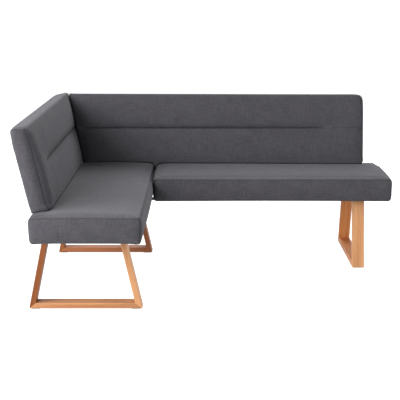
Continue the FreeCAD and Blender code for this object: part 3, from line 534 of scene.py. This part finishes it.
def cutBlock(name, low, high, pitch, marks):
    mesh = bpy.data.meshes.new(name)
    shape = bmesh.new()
    span = Vector(high) - Vector(low)
    centre = (Vector(high) + Vector(low)) / 2
    box = Matrix.Translation(centre) @ Matrix.Diagonal((*span, 1))
    bmesh.ops.create_cube(shape, size=1, matrix=box)
    for axis in range(3):
        normal = [0, 0, 0]
        normal[axis] = 1
        for place in cutLines(low[axis], high[axis], pitch, marks[axis]):
            point = [0, 0, 0]
            point[axis] = place
            everything = shape.verts[:] + shape.edges[:] + shape.faces[:]
            bmesh.ops.bisect_plane(shape, geom=everything, plane_co=point, plane_no=normal)
    cloth = shape.loops.layers.uv.new("cloth")
    for face in shape.faces:
        normal = face.normal
        axis = max(range(3), key=lambda number: abs(normal[number]))
        pair = [number for number in (1, 0, 2) if number != axis]
        for loop in face.loops:
            point = loop.vert.co
            loop[cloth].uv = (point[pair[0]] + axis, point[pair[1]] + axis)
    shape.to_mesh(mesh)
    shape.free()
    piece = bpy.data.objects.new(name, mesh)
    bpy.context.scene.collection.objects.link(piece)
    return piece


def readPoints(mesh):
    points = np.empty(len(mesh.vertices) * 3)
    mesh.vertices.foreach_get("co", points)
    return points.reshape(-1, 3)


def writePoints(mesh, points):
    mesh.vertices.foreach_set("co", np.ascontiguousarray(points, dtype=np.float32).ravel())
    mesh.update()


# The block's points moved onto a form with rounded edges. A round is a radius for each point and
# axis, so an edge may be rounder on one side than on the other.
def roundForm(points, low, high, rounds):
    core = np.clip(points, np.array(low) + rounds, np.array(high) - rounds)
    reach = (points - core) / rounds
    length = np.linalg.norm(reach, axis=1)
    return core + reach / np.maximum(length, tiny)[:, None] * rounds


# Radii that change from the bottom edge's over the corners' to the top edge's
def levelRounds(points, low, high, bottomRound, cornerRound, topRound):
    level = points[:, 2]
    nearTop = smooth((level - high[2] + topRound) / cushion["topBlend"] + 1)
    nearBottom = smooth((low[2] + bottomRound - level) / cushion["bottomBlend"] + 1)
    return cornerRound + (topRound - cornerRound) * nearTop + (bottomRound - cornerRound) * nearBottom


def edgeGap(points, low, high, axis):
    return np.minimum(points[:, axis] - low[axis], high[axis] - points[:, axis])


def vertexNormals(mesh):
    normals = np.empty(len(mesh.vertices) * 3)
    mesh.vertex_normals.foreach_get("vector", normals)
    return normals.reshape(-1, 3)


# The cloth is freest in the middle of a face; near the edges the sewn form stays
def swell(piece, block, low, high, held):
    gaps = np.stack([edgeGap(block, low, high, axis) for axis in range(3)])
    loose = smooth(np.sort(gaps, axis=0)[1] / cushion["looseReach"])
    scene = bpy.context.scene
    start = readPoints(piece.data)
    group = piece.vertex_groups.new(name="held")
    group.add(np.flatnonzero(held).tolist(), 1.0, "REPLACE")
    modifier = piece.modifiers.new("padding", "CLOTH")
    settings = modifier.settings
    settings.quality = cushion["quality"]
    settings.mass = cushion["mass"]
    settings.tension_stiffness = cushion["stretchStiffness"]
    settings.compression_stiffness = cushion["stretchStiffness"]
    settings.shear_stiffness = cushion["shearStiffness"]
    settings.bending_stiffness = cushion["bendStiffness"]
    settings.use_pressure = True
    settings.uniform_pressure_force = cushion["pressure"]
    settings.shrink_min = cushion["slack"]
    settings.vertex_group_mass = "held"
    settings.effector_weights.gravity = 0
    modifier.collision_settings.use_collision = False
    for number in range(1, cushion["frames"] + 1):
        scene.frame_set(number)
    graph = bpy.context.evaluated_depsgraph_get()
    result = piece.evaluated_get(graph)
    swollen = readPoints(result.data)
    piece.modifiers.remove(modifier)
    piece.vertex_groups.clear()
    scene.frame_set(1)
    move = swollen - start
    length = np.linalg.norm(move, axis=1)
    cap = cushion["cap"]
    soft = cap * np.tanh(length / cap) / np.maximum(length, tiny)
    writePoints(piece.data, start + move * (soft * loose)[:, None])
    print(piece.name, "padded, largest move", round(float(length.max()) * 1000, 1), "mm")


# Seams are pressed in as grooves with puckers beside them, and painted shade darkens the cloth along
# the seam lines and where the given shade distance is small
def drawSeamsAndPaintShade(piece, block, distance, shade):
    mesh = piece.data
    points = readPoints(mesh)
    normals = vertexNormals(mesh)
    line = np.exp(-(distance / cushion["seamWidth"]) ** 2)
    shoulder = np.exp(-((distance - cushion["shoulderPlace"]) / cushion["shoulderWidth"]) ** 2)
    beside = np.exp(-(distance / cushion["puckerReach"]) ** 2)
    puckers = np.array([noise.noise(Vector(point) * cushion["puckerPitch"]) for point in block])
    move = (
        -cushion["seamDepth"] * line
        + cushion["shoulderHeight"] * shoulder
        + cushion["puckerDepth"] * beside * puckers
    )
    writePoints(mesh, points + normals * move[:, None])
    # Painted shade: darkest on the seam lines and where the shade distance is small
    paintedShade = mesh.attributes.new("paintedShade", "FLOAT", "POINT")
    line = cushion["shadeShare"] * np.exp(-(distance / cushion["shadeWidth"]) ** 2)
    paintedShade.data.foreach_set("value", np.maximum(line, np.exp(-shade ** 2)).astype(np.float32))


def finishCushion(piece, replaced):
    for face in piece.data.polygons:
        face.use_smooth = True
    deselectAll()
    piece.select_set(True)
    bpy.context.view_layer.objects.active = piece
    soften = piece.modifiers.new("soften", "SUBSURF")
    soften.levels = 1
    soften.render_levels = 1
    bpy.ops.object.modifier_apply(modifier=soften.name)
    piece.data.materials.append(fabric)
    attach(piece, "root")
    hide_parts(*replaced)
    print(piece.name, "done,", len(piece.data.polygons), "faces")


seat = {
    "bottomRound": 0.022,
    "cornerRound": 0.024,
    "endSwell": 0.004,
    "sideSwell": 0.004,
    "footDraw": 0.005,
    "cornerSag": 0.006,
    "cornerPress": 0.005,
    "endPress": 0.012,
    "pressReach": 0.060,
    "freePress": 0.5,
    "pressFade": 0.045,
    "windowEdge": 0.036,
    "windowRise": 0.0035,
    "footCurve": 1.5,
    "endCurve": 9,
    "sagCurve": 6,
    "fill": 0.85,
    "jointInset": 0.010,
    "jointShade": 0.007,
}


def seatRise(across, along, length):
    bow = np.sin(np.pi * np.clip(along / length, 0, 1))
    half = bench["seatDepth"] / 2
    arc = np.clip(1 - ((across - half) / (half - bench["seatTopRound"])) ** 2, 0, 1)
    rise = (bench["seatEndCrown"] + (bench["seatCrown"] - bench["seatEndCrown"]) * bow) * arc
    # The backs press the seats down where they stand, more towards the long wing's free end
    if length == bench["rightSeatLength"]:
        towardsEnd = np.clip(along / length, 0, 1)
        press = seat["cornerPress"] + (seat["endPress"] - seat["cornerPress"]) * towardsEnd
        covered = smooth((length - bench["longBackInset"] - along) / seat["pressFade"] + 0.5)
        press *= seat["freePress"] + (1 - seat["freePress"]) * covered
        rise = rise - press * smooth(1 - (across - backFace) / seat["pressReach"]) * (across > 0)
    return rise


def makeSeat(name, wing, length, replaced):
    low = (0.0, 0.0, bench["seatUnderside"])
    high = (bench["seatDepth"], length, seatTop)
    edge = seat["windowEdge"]
    marks = (
        (low[0], edge, high[0] - edge, high[0]),
        (low[1], edge, high[1] - edge, high[1]),
        (low[2], high[2]),
    )
    piece = cutBlock(name, low, high, cushion["pitch"], marks)
    block = readPoints(piece.data)
    topRound, bottomRound = bench["seatTopRound"], seat["bottomRound"]
    rounds = levelRounds(block, low, high, bottomRound, seat["cornerRound"], topRound)
    upright = np.where(block[:, 2] > (low[2] + high[2]) / 2, topRound, bottomRound)
    points = roundForm(block, low, high, np.stack((rounds, rounds, upright), axis=1))
    bow = np.sin(np.pi * block[:, 1] / length)
    half = bench["seatDepth"] / 2
    offset = (block[:, 0] - half) / half
    share = np.clip((block[:, 2] - low[2]) / (high[2] - low[2]), 0, 1)
    # The sides swell between the ends and lean in at the ends' foot, and the corners hang lowest
    sideways = seat["sideSwell"] * bow * (1 - share ** 2)
    sideways -= seat["footDraw"] * (1 - bow) * (1 - share) ** seat["footCurve"]
    points[:, 0] += offset * sideways
    lengthways = np.clip(block[:, 1] / length * 2 - 1, -1, 1)
    filled = seat["endSwell"] * (1 - offset ** 2) * smooth(share)
    points[:, 1] += lengthways ** seat["endCurve"] * filled
    points[:, 2] -= seat["cornerSag"] * (1 - bow) * offset ** seat["sagCurve"] * (1 - share)
    upper = smooth(share * 2 - 1)
    points[:, 2] += seatRise(points[:, 0], points[:, 1], length) * upper
    sideGap, endGap = edgeGap(block, low, high, 0), edgeGap(block, low, high, 1)
    inside = np.minimum(sideGap, endGap) > edge - 2 * cushion["onLine"]
    bottom = block[:, 2] < low[2] + cushion["onLine"]
    points[:, 2] += seat["windowRise"] * (inside & bottom)
    writePoints(piece.data, moved(points, wing))
    topSeam = high[2] - block[:, 2] + np.minimum(sideGap, endGap)
    cornerSeam = sideGap + endGap
    distance = np.minimum(topSeam, cornerSeam)
    held = (distance < 2 * cushion["onLine"]) | bottom
    swell(piece, block, low, high, held)
    # Painted shade darkens the sides that face each other across the narrow gap between the seats
    if length == bench["leftSeatLength"]:
        before = np.maximum(length - bench["seatDepth"] + seat["jointInset"] - block[:, 1], 0)
        jointGap = high[0] - block[:, 0] + before
    else:
        jointGap = block[:, 1] - low[1]
    drawSeamsAndPaintShade(piece, block, distance, jointGap / seat["jointShade"])
    finishCushion(piece, replaced)


back = {
    "faceTopRound": 0.044,
    "cornerTopRound": 0.024,
    "faceFootRound": 0.024,
    "faceEndRound": 0.034,
    "faceEndFootRound": 0.043,
    "rearFootRound": 0.008,
    "rearEndRound": 0.015,
    "topCornerReach": 0.090,
    "joinedEndRound": 0.008,
    "joinedFootRound": 0.004,
    "cornerPanelShare": 0.60,
    "panelFade": 0.034,
    "panelPart": 0.120,
    "panelFoot": -0.060,
    "channelHeight": 0.200,
    "channelDepth": 0.009,
    "channelReach": 0.008,
    # How faint the painted shade along the long back's crease is
    "traceShade": 0.9,
    "freeMargin": 0.185,
    "cornerMargin": 0.028,
    "cornerFade": 0.020,
    "restHeight": 0.070,
    "gapSink": 0.030,
    "clear": 0.0006,
    "endSwell": 0.005,
    "endReach": 0.060,
    # Widths of the painted shade in the crevices at the foot and at the joined end
    "footShade": 0.007,
    "endShade": 0.012,
    "grooveCurve": 1.4,
    "sewnFrom": 0.3,
    "fill": 0.8,
}

# The end that meets the other back is at the end of the left back and at the start of the long
# one, which stands against the left back's face
leftBack = {
    "start": bench["leftBackInset"],
    "stop": bench["leftSeatLength"] - bench["backSetback"],
    "cornerSide": 1,
    "covered": backFace,
    "freeFade": 0.035,
    "channelTrace": 0.0,
    "topCornerRound": 0.025,
    "panelCrown": 0.013,
}
longBack = {
    "start": backFace - bench["seatDepth"] - bench["seatGap"] + bench["backClearance"],
    "stop": bench["rightSeatLength"] - bench["longBackInset"],
    "cornerSide": -1,
    "covered": 0.0,
    "freeFade": 0.120,
    "channelTrace": 0.22,
    "topCornerRound": 0.040,
    "panelCrown": 0.009,
}


# How high the seats stand under each point, and lower where the back sinks between them
def restLevel(points):
    local = [moved(points, wing.inverted()) for wing in (leftWing, rightWing)]
    radius = bench["seatTopRound"]
    between = (local[0][:, 0] > radius) & (local[1][:, 0] > radius)
    level = seatTop - np.where(between, back["gapSink"], bench["backSink"])
    for place, length in zip(local, (bench["leftSeatLength"], bench["rightSeatLength"])):
        gap = np.minimum(
            np.minimum(place[:, 0], bench["seatDepth"] - place[:, 0]),
            np.minimum(place[:, 1], length - place[:, 1]),
        )
        rise = seatRise(place[:, 0], place[:, 1], length)
        fall = np.clip(radius - gap, 0, radius)
        drop = radius - np.sqrt(np.maximum(radius ** 2 - fall ** 2, 0))
        level = np.where(gap > 0, np.maximum(level, seatTop + rise - drop), level)
    return level


def panelSwell(height, foot, head):
    share = np.clip((height - foot) / (head - foot), 0, 1)
    return 1 - (2 * share - 1) ** 2


# The padded face is rounder at its edges than the rear face, most of all at the free end's foot,
# and a joined end is the least round
def backRounds(block, low, high, joined, cornerShare, nearJoint, topCornerRound):
    padded = block[:, 0] > (low[0] + high[0]) / 2
    upperHalf = block[:, 2] > (low[2] + high[2]) / 2
    footShare = 1 - (block[:, 2] - low[2]) / (high[2] - low[2])
    faceEnd = back["faceEndRound"] + (back["faceEndFootRound"] - back["faceEndRound"]) * footShare
    faceFoot = back["faceFootRound"] + (back["joinedFootRound"] - back["faceFootRound"]) * nearJoint
    footRound = np.where(padded, faceFoot, back["rearFootRound"])
    endRound = np.where(padded, faceEnd, back["rearEndRound"])
    endRound = np.where(joined, back["joinedEndRound"], endRound)
    nearEnd = smooth(1 - edgeGap(block, low, high, 1) / back["topCornerReach"]) * ~joined
    rearTop = bench["backRearRound"] + (topCornerRound - bench["backRearRound"]) * nearEnd
    faceTop = back["faceTopRound"] + (back["cornerTopRound"] - back["faceTopRound"]) * cornerShare
    topRound = np.where(padded, faceTop, rearTop)
    endTopRound = np.where(joined, back["joinedEndRound"], np.maximum(topRound, topCornerRound))
    across = levelRounds(block, low, high, footRound, endRound, topRound)
    lengthways = levelRounds(block, low, high, footRound, endRound, endTopRound)
    upright = np.where(upperHalf, topRound, footRound)
    return np.stack((across, lengthways, upright), axis=1)


def buildBack(name, wing, form, replaced):
    start, stop, cornerSide = form["start"], form["stop"], form["cornerSide"]
    low = (-bench["backThickness"], start, -bench["backSink"])
    high = (0.0, stop, bench["backHeight"])
    channel = back["channelHeight"]
    seatJoint = -bench["seatGap"] / 2
    marks = ((low[0], high[0]), (start, seatJoint, stop), (low[2], channel, high[2]))
    piece = cutBlock(name, low, high, cushion["pitch"], marks)
    block = readPoints(piece.data)
    along = block[:, 1]
    cornerGap, freeGap = stop - along, along - start
    if cornerSide < 0:
        cornerGap, freeGap = freeGap, cornerGap
    cornerShare = 1 - cornerGap / (stop - start)
    joined = (cornerShare > 0.5) & (cornerSide < 0)
    openCorner = cornerGap - form["covered"]
    nearJoint = smooth(1 - openCorner / bench["backThickness"])
    rounds = backRounds(block, low, high, joined, cornerShare, nearJoint, form["topCornerRound"])
    points = roundForm(block, low, high, rounds)
    faceShare = smooth((block[:, 0] - low[0]) / (high[0] - low[0]) * 2 - 1)
    height = points[:, 2]
    top = high[2] - bench["backTopRound"]
    openGap = np.minimum(freeGap, np.maximum(openCorner, 0))
    body = smooth(openGap / back["panelFade"])
    body *= 1 - (1 - back["cornerPanelShare"]) * smooth(cornerShare * 2 - 1)
    freeReach = (freeGap - back["freeMargin"]) / form["freeFade"]
    cornerReach = (cornerGap - back["cornerMargin"]) / back["cornerFade"]
    fade = smooth(np.minimum(freeReach, cornerReach))
    # The long back's channel runs on to the free end as a faint crease
    trace = form["channelTrace"] * (freeGap < (stop - start) / 2)
    depth = back["channelDepth"] * np.maximum(fade, trace)
    # One panel's swell towards the free end, two panels' swell where the channel parts them
    parted = smooth((freeGap - back["freeMargin"]) / back["panelPart"] + 0.5)
    foot = back["panelFoot"]
    bulge = (1 - parted) * panelSwell(height, foot, top)
    bulge += parted * (panelSwell(height, foot, channel) + panelSwell(height, channel, top))
    reach = np.abs(block[:, 2] - channel) / back["channelReach"]
    groove = np.clip(1 - reach, 0, 1) ** back["grooveCurve"]
    points[:, 0] += faceShare * (form["panelCrown"] * bulge * body - depth * groove)
    # The free end is filled, most in its middle
    offset = (block[:, 0] - low[0]) / (high[0] - low[0]) * 2 - 1
    filled = back["endSwell"] * (1 - offset ** 2) * smooth(1 - freeGap / back["endReach"])
    points[:, 1] -= cornerSide * filled
    # At the corner the end is cut on the slant, to meet the other back's leaning face
    slope = math.sin(lean)
    through = slope * math.tan(lean)
    points[:, 1] += cornerSide * cornerShare * (slope * points[:, 2] + through * points[:, 0])
    place = wing @ leanFrame
    world = moved(points, place)
    lowering = smooth(1 - (block[:, 2] - low[2]) / back["restHeight"])
    bottomPoints = points.copy()
    bottomPoints[:, 2] = low[2]
    under = moved(bottomPoints, place)
    world[:, 2] += lowering * (restLevel(world) + back["clear"] - under[:, 2])
    writePoints(piece.data, world)
    bottom = block[:, 2] < low[2] + cushion["onLine"]
    faceGap, footGap = edgeGap(block, low, high, 0), edgeGap(block, low, high, 2)
    distance = edgeGap(block, low, high, 1) + np.minimum(faceGap, footGap)
    front = high[0] - block[:, 0]
    channelLine = np.abs(block[:, 2] - channel) + front
    sewn = fade > back["sewnFrom"]
    held = (distance < 2 * cushion["onLine"]) | bottom | (sewn & (channelLine < cushion["onLine"]))
    swell(piece, block, low, high, held)
    seamDistance = np.where(sewn, np.minimum(distance, channelLine), distance)
    # Painted shade darkens the crevices at the foot and at the joined end, and faintly along the long
    # back's crease
    footShade = (block[:, 2] - low[2] + front) / back["footShade"]
    endShade = (cornerGap + front) / back["endShade"] + (cornerSide > 0) * cushion["unshaded"]
    faint = np.where(trace > 0, back["traceShade"], cushion["unshaded"])
    traceShade = channelLine / cushion["shadeWidth"] + faint
    drawSeamsAndPaintShade(piece, block, seamDistance, np.minimum(np.minimum(footShade, endShade), traceShade))
    finishCushion(piece, replaced)


makeSeat("leftSeatCushion", leftWing, bench["leftSeatLength"],
         ("left_seat_cover", "left_seat_foam"))
makeSeat("rightSeatCushion", rightWing, bench["rightSeatLength"],
         ("right_seat_cover", "right_seat_foam"))
buildBack("leftBackCushion", leftWing, leftBack,
          ("left_back_cover", "left_back_front_foam", "left_back_rear_wadding"))
buildBack("longBackCushion", rightWing, longBack,
          ("long_back_cover", "long_back_front_foam", "long_back_rear_wadding"))


# Dust cloths under the seats

dustCloth = {
    "edge": 0.0363,
    "lift": 0.0014,
    "sag": 0.0006,
    "thickness": 0.0005,
    "cuts": (24, 60),
    "slackScale": 9.0,
}

lining = {
    "scale": 900.0,
    "dark": (0.006, 0.006, 0.007, 1),
    "light": (0.028, 0.028, 0.030, 1),
    "rough": (0.85, 0.98),
}

darkCloth = makeMottled("spunCloth", **lining)


def makeDustCloth(name, wing, length, replaced):
    width = bench["seatDepth"] - 2 * dustCloth["edge"]
    reach = length - 2 * dustCloth["edge"]
    deselectAll()
    cutsAcross, cutsAlong = dustCloth["cuts"]
    bpy.ops.mesh.primitive_grid_add(x_subdivisions=cutsAcross, y_subdivisions=cutsAlong, size=1)
    piece = bpy.context.object
    piece.name = name
    points = readPoints(piece.data)
    points[:, 0] = bench["seatDepth"] / 2 + points[:, 0] * width
    points[:, 1] = length / 2 + points[:, 1] * reach
    slackScale = dustCloth["slackScale"]
    slack = [noise.noise(Vector((point[0], point[1], 0)) * slackScale) for point in points]
    points[:, 2] = bench["seatUnderside"] + dustCloth["lift"] + dustCloth["sag"] * np.array(slack)
    writePoints(piece.data, moved(points, wing))
    thicken = piece.modifiers.new("thicken", "SOLIDIFY")
    thicken.thickness = dustCloth["thickness"]
    bpy.ops.object.modifier_apply(modifier=thicken.name)
    piece.data.materials.append(darkCloth)
    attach(piece, "root")
    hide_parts(replaced)


makeDustCloth("leftDustCloth", leftWing, bench["leftSeatLength"], "left_seat_dust_cover")
makeDustCloth("rightDustCloth", rightWing, bench["rightSeatLength"], "right_seat_dust_cover")
print("cloths done")


# Finishes of the CAD nodes

def dress(name, material):
    node = nodes[name]
    node.data.materials.clear()
    node.data.materials.append(material)


# Turns that lay each board's length along x, where the grain runs
legLean = math.radians(12.4)
quarter = math.pi / 2
acrossTurns = {
    "floor_rail": (0, 0, 0),
    "top_rail": (0, 0, 0),
    "inner_leg": (0, quarter + legLean, 0),
    "outer_leg": (0, quarter - legLean, 0),
}
endTurns = {
    "floor_rail": (0, 0, -quarter),
    "top_rail": (0, 0, -quarter),
    "inner_leg": (legLean - quarter, 0, -quarter),
    "outer_leg": (-legLean - quarter, 0, -quarter),
}
frameTurns = {"front": acrossTurns, "corner": acrossTurns, "end": endTurns}
# Tone of each board, partly the oak's own variation and partly painted light and shade: darker tones
# paint the shade under the seats and on the front frame's outer leg, brighter ones paint light on the
# lit legs and on the shaded end-frame boards
boardTones = {
    "front_outer_leg": "ruddyShaded",
    "front_inner_leg": "light",
    "corner_floor_rail": "warmShaded",
    "corner_top_rail": "warmShaded",
    "corner_inner_leg": "warmShaded",
    "corner_outer_leg": "ruddyShaded",
    "end_inner_leg": "light",
    "end_outer_leg": "amberLit",
    "end_floor_rail": "amberLit",
}
grainStep = Vector((0.7, 0.37, 0.53))
for number, (frameName, turns) in enumerate(frameTurns.items()):
    for step, (board, turn) in enumerate(turns.items()):
        shift = grainStep * (number * len(turns) + step)
        light, dark = oakTones[boardTones.get("%s_%s" % (frameName, board), "pale")]
        material = makeWood("oak_%s_%s" % (frameName, board), turn, shift, light, dark, oak["pore"])
        dress("%s_frame_%s" % (frameName, board), material)

# Hidden woods: turn and shift of the grain, then its light, dark and pore tones
hiddenWoods = {
    "planedSoftwood": (
        (0, 0, 0), (0, 0, 0),
        (0.74, 0.56, 0.34, 1), (0.58, 0.38, 0.18, 1), (0.42, 0.25, 0.11, 1),
    ),
    "plywood": (
        (0, 0, 0.4), (1, 0, 0),
        (0.66, 0.49, 0.30, 1), (0.50, 0.33, 0.17, 1), (0.36, 0.22, 0.10, 1),
    ),
    "beechSpline": (
        (0, 0, 0), (0, 2, 0),
        (0.60, 0.38, 0.20, 1), (0.44, 0.24, 0.11, 1), (0.30, 0.15, 0.07, 1),
    ),
}
# Other hidden finishes: speckle scale, dark and light tones, roughness from and to, metal share
hiddenFinishes = {
    "openCellFoam": (1400.0, (0.66, 0.60, 0.42, 1), (0.86, 0.82, 0.66, 1), (0.9, 1.0), 0.0),
    "wadding": (260.0, (0.74, 0.74, 0.72, 1), (0.92, 0.92, 0.90, 1), (0.9, 1.0), 0.0),
    "glidePlastic": (800.0, (0.010, 0.010, 0.011, 1), (0.030, 0.030, 0.032, 1), (0.4, 0.6), 0.0),
    "blackPowder": (1200.0, (0.010, 0.010, 0.011, 1), (0.032, 0.032, 0.034, 1), (0.45, 0.65), 0.0),
    "zincPlate": (500.0, (0.42, 0.42, 0.44, 1), (0.66, 0.66, 0.68, 1), (0.25, 0.45), 1.0),
    "springSteel": (600.0, (0.16, 0.16, 0.17, 1), (0.36, 0.36, 0.38, 1), (0.3, 0.5), 1.0),
}
finishes = {"greyWeave": fabric, "spunCloth": darkCloth}
for name, values in hiddenWoods.items():
    finishes[name] = makeWood(name, *values)
for name, values in hiddenFinishes.items():
    finishes[name] = makeMottled(name, *values)

slotFinish = {
    "softwood": "planedSoftwood",
    "plywood": "plywood",
    "spline_wood": "beechSpline",
    "foam": "openCellFoam",
    "wadding": "wadding",
    "glide": "glidePlastic",
    "black_steel": "blackPowder",
    "zinc_steel": "zincPlate",
    "spring_steel": "springSteel",
    "woven_fabric": "greyWeave",
    "lining_cloth": "spunCloth",
}
for part in frame["record"]["subparts"]:
    if part["material_slot"] in slotFinish:
        dress(part["node"], finishes[slotFinish[part["material_slot"]]])
print("nodes dressed")


# Floor, light and camera

studio = {
    "floorSize": 400.0,
    "floorColour": (0.55, 0.55, 0.55, 1),
    "floorRoughness": 0.95,
    "floorSpecular": 0.1,
    "floorGlow": 0.87,
    "glowStart": 1.1,
    "glowFull": 2.6,
    "worldStrength": 0.01,
    "aim": (0.0, 0.0, 0.45),
}
lamps = {
    "leftLamp": {"power": 290.0, "size": 3.0, "place": (-4.4, -1.8, 3.2)},
    "rearLamp": {"power": 244.0, "size": 3.0, "place": (0.4, 3.6, 4.2)},
    "nearLeftLamp": {"power": 77.0, "size": 1.5, "place": (-1.8, -3.0, 1.6)},
    "leftLowLamp": {"power": 42.0, "size": 1.5, "place": (-3.5, -2.5, 0.9)},
    "rightSideLamp": {"power": 77.0, "size": 2.0, "place": (4.0, -1.2, 1.2)},
}


def makeFloor():
    deselectAll()
    bpy.ops.mesh.primitive_plane_add(size=studio["floorSize"])
    floor = bpy.context.object
    floor.name = "floor"
    material, tree, shader = newMaterial("paleFloor")
    shader.inputs["Base Color"].default_value = studio["floorColour"]
    shader.inputs["Roughness"].default_value = studio["floorRoughness"]
    shader.inputs["Specular IOR Level"].default_value = studio["floorSpecular"]
    path = addNode(tree, "ShaderNodeLightPath")
    seen = math2(tree, "MAXIMUM", path.outputs["Is Camera Ray"], path.outputs["Is Glossy Ray"])
    seen = math2(tree, "MAXIMUM", seen, path.outputs["Is Transmission Ray"])
    shader.inputs["Emission Color"].default_value = (1, 1, 1, 1)
    # The floor glows fully away from the bench, and less near it, where its shadow falls
    place = addNode(tree, "ShaderNodeTexCoord")
    far = addNode(tree, "ShaderNodeVectorMath", operation="LENGTH")
    link(tree, place.outputs["Object"], far.inputs[0])
    share = ramp(tree, far.outputs["Value"], studio["glowStart"], studio["glowFull"])
    extra = math2(tree, "MULTIPLY", share, 1 - studio["floorGlow"])
    glow = math2(tree, "ADD", studio["floorGlow"], extra)
    link(tree, math2(tree, "MULTIPLY", seen, glow), shader.inputs["Emission Strength"])
    floor.data.materials.append(material)


def makeWorld():
    world = bpy.data.worlds.new("studio")
    bpy.context.scene.world = world
    world.use_nodes = True
    tree = world.node_tree
    ground = tree.nodes["Background"]
    path = addNode(tree, "ShaderNodeLightPath")
    seen = math2(tree, "MAXIMUM", path.outputs["Is Camera Ray"], path.outputs["Is Glossy Ray"])
    seen = math2(tree, "MAXIMUM", seen, path.outputs["Is Transmission Ray"])
    rest = math2(tree, "MULTIPLY", math2(tree, "SUBTRACT", 1.0, seen), studio["worldStrength"])
    ground.inputs["Color"].default_value = (1, 1, 1, 1)
    link(tree, math2(tree, "ADD", seen, rest), ground.inputs["Strength"])


def addLamp(name, power, size, place):
    lamp = bpy.data.lights.new(name, "AREA")
    lamp.energy = power
    lamp.shape = "DISK"
    lamp.size = size
    holder = bpy.data.objects.new(name, lamp)
    bpy.context.scene.collection.objects.link(holder)
    holder.location = place
    aim = Vector(studio["aim"]) - Vector(place)
    holder.rotation_euler = aim.to_track_quat("-Z", "Y").to_euler()


makeFloor()
makeWorld()
for name, lamp in lamps.items():
    addLamp(name, lamp["power"], lamp["size"], lamp["place"])

view = {
    "focalPixels": 910.1,
    "imageWidth": 400,
    "sensorWidth": 36.0,
    "pitch": 0.2325,
    "place": (0.7445, -3.7745, 1.4586),
}
camera = bpy.data.cameras.new("camera")
camera.sensor_width = view["sensorWidth"]
camera.lens = view["focalPixels"] / view["imageWidth"] * camera.sensor_width
camera.clip_end = studio["floorSize"]
cameraHolder = bpy.data.objects.new("camera", camera)
bpy.context.scene.collection.objects.link(cameraHolder)
cameraHolder.location = Vector(view["place"]) - middle
cameraHolder.rotation_euler = (math.pi / 2 - view["pitch"], 0, 0)
bpy.context.scene.camera = cameraHolder
bpy.context.scene.view_settings.view_transform = "Standard"

print("scene done")
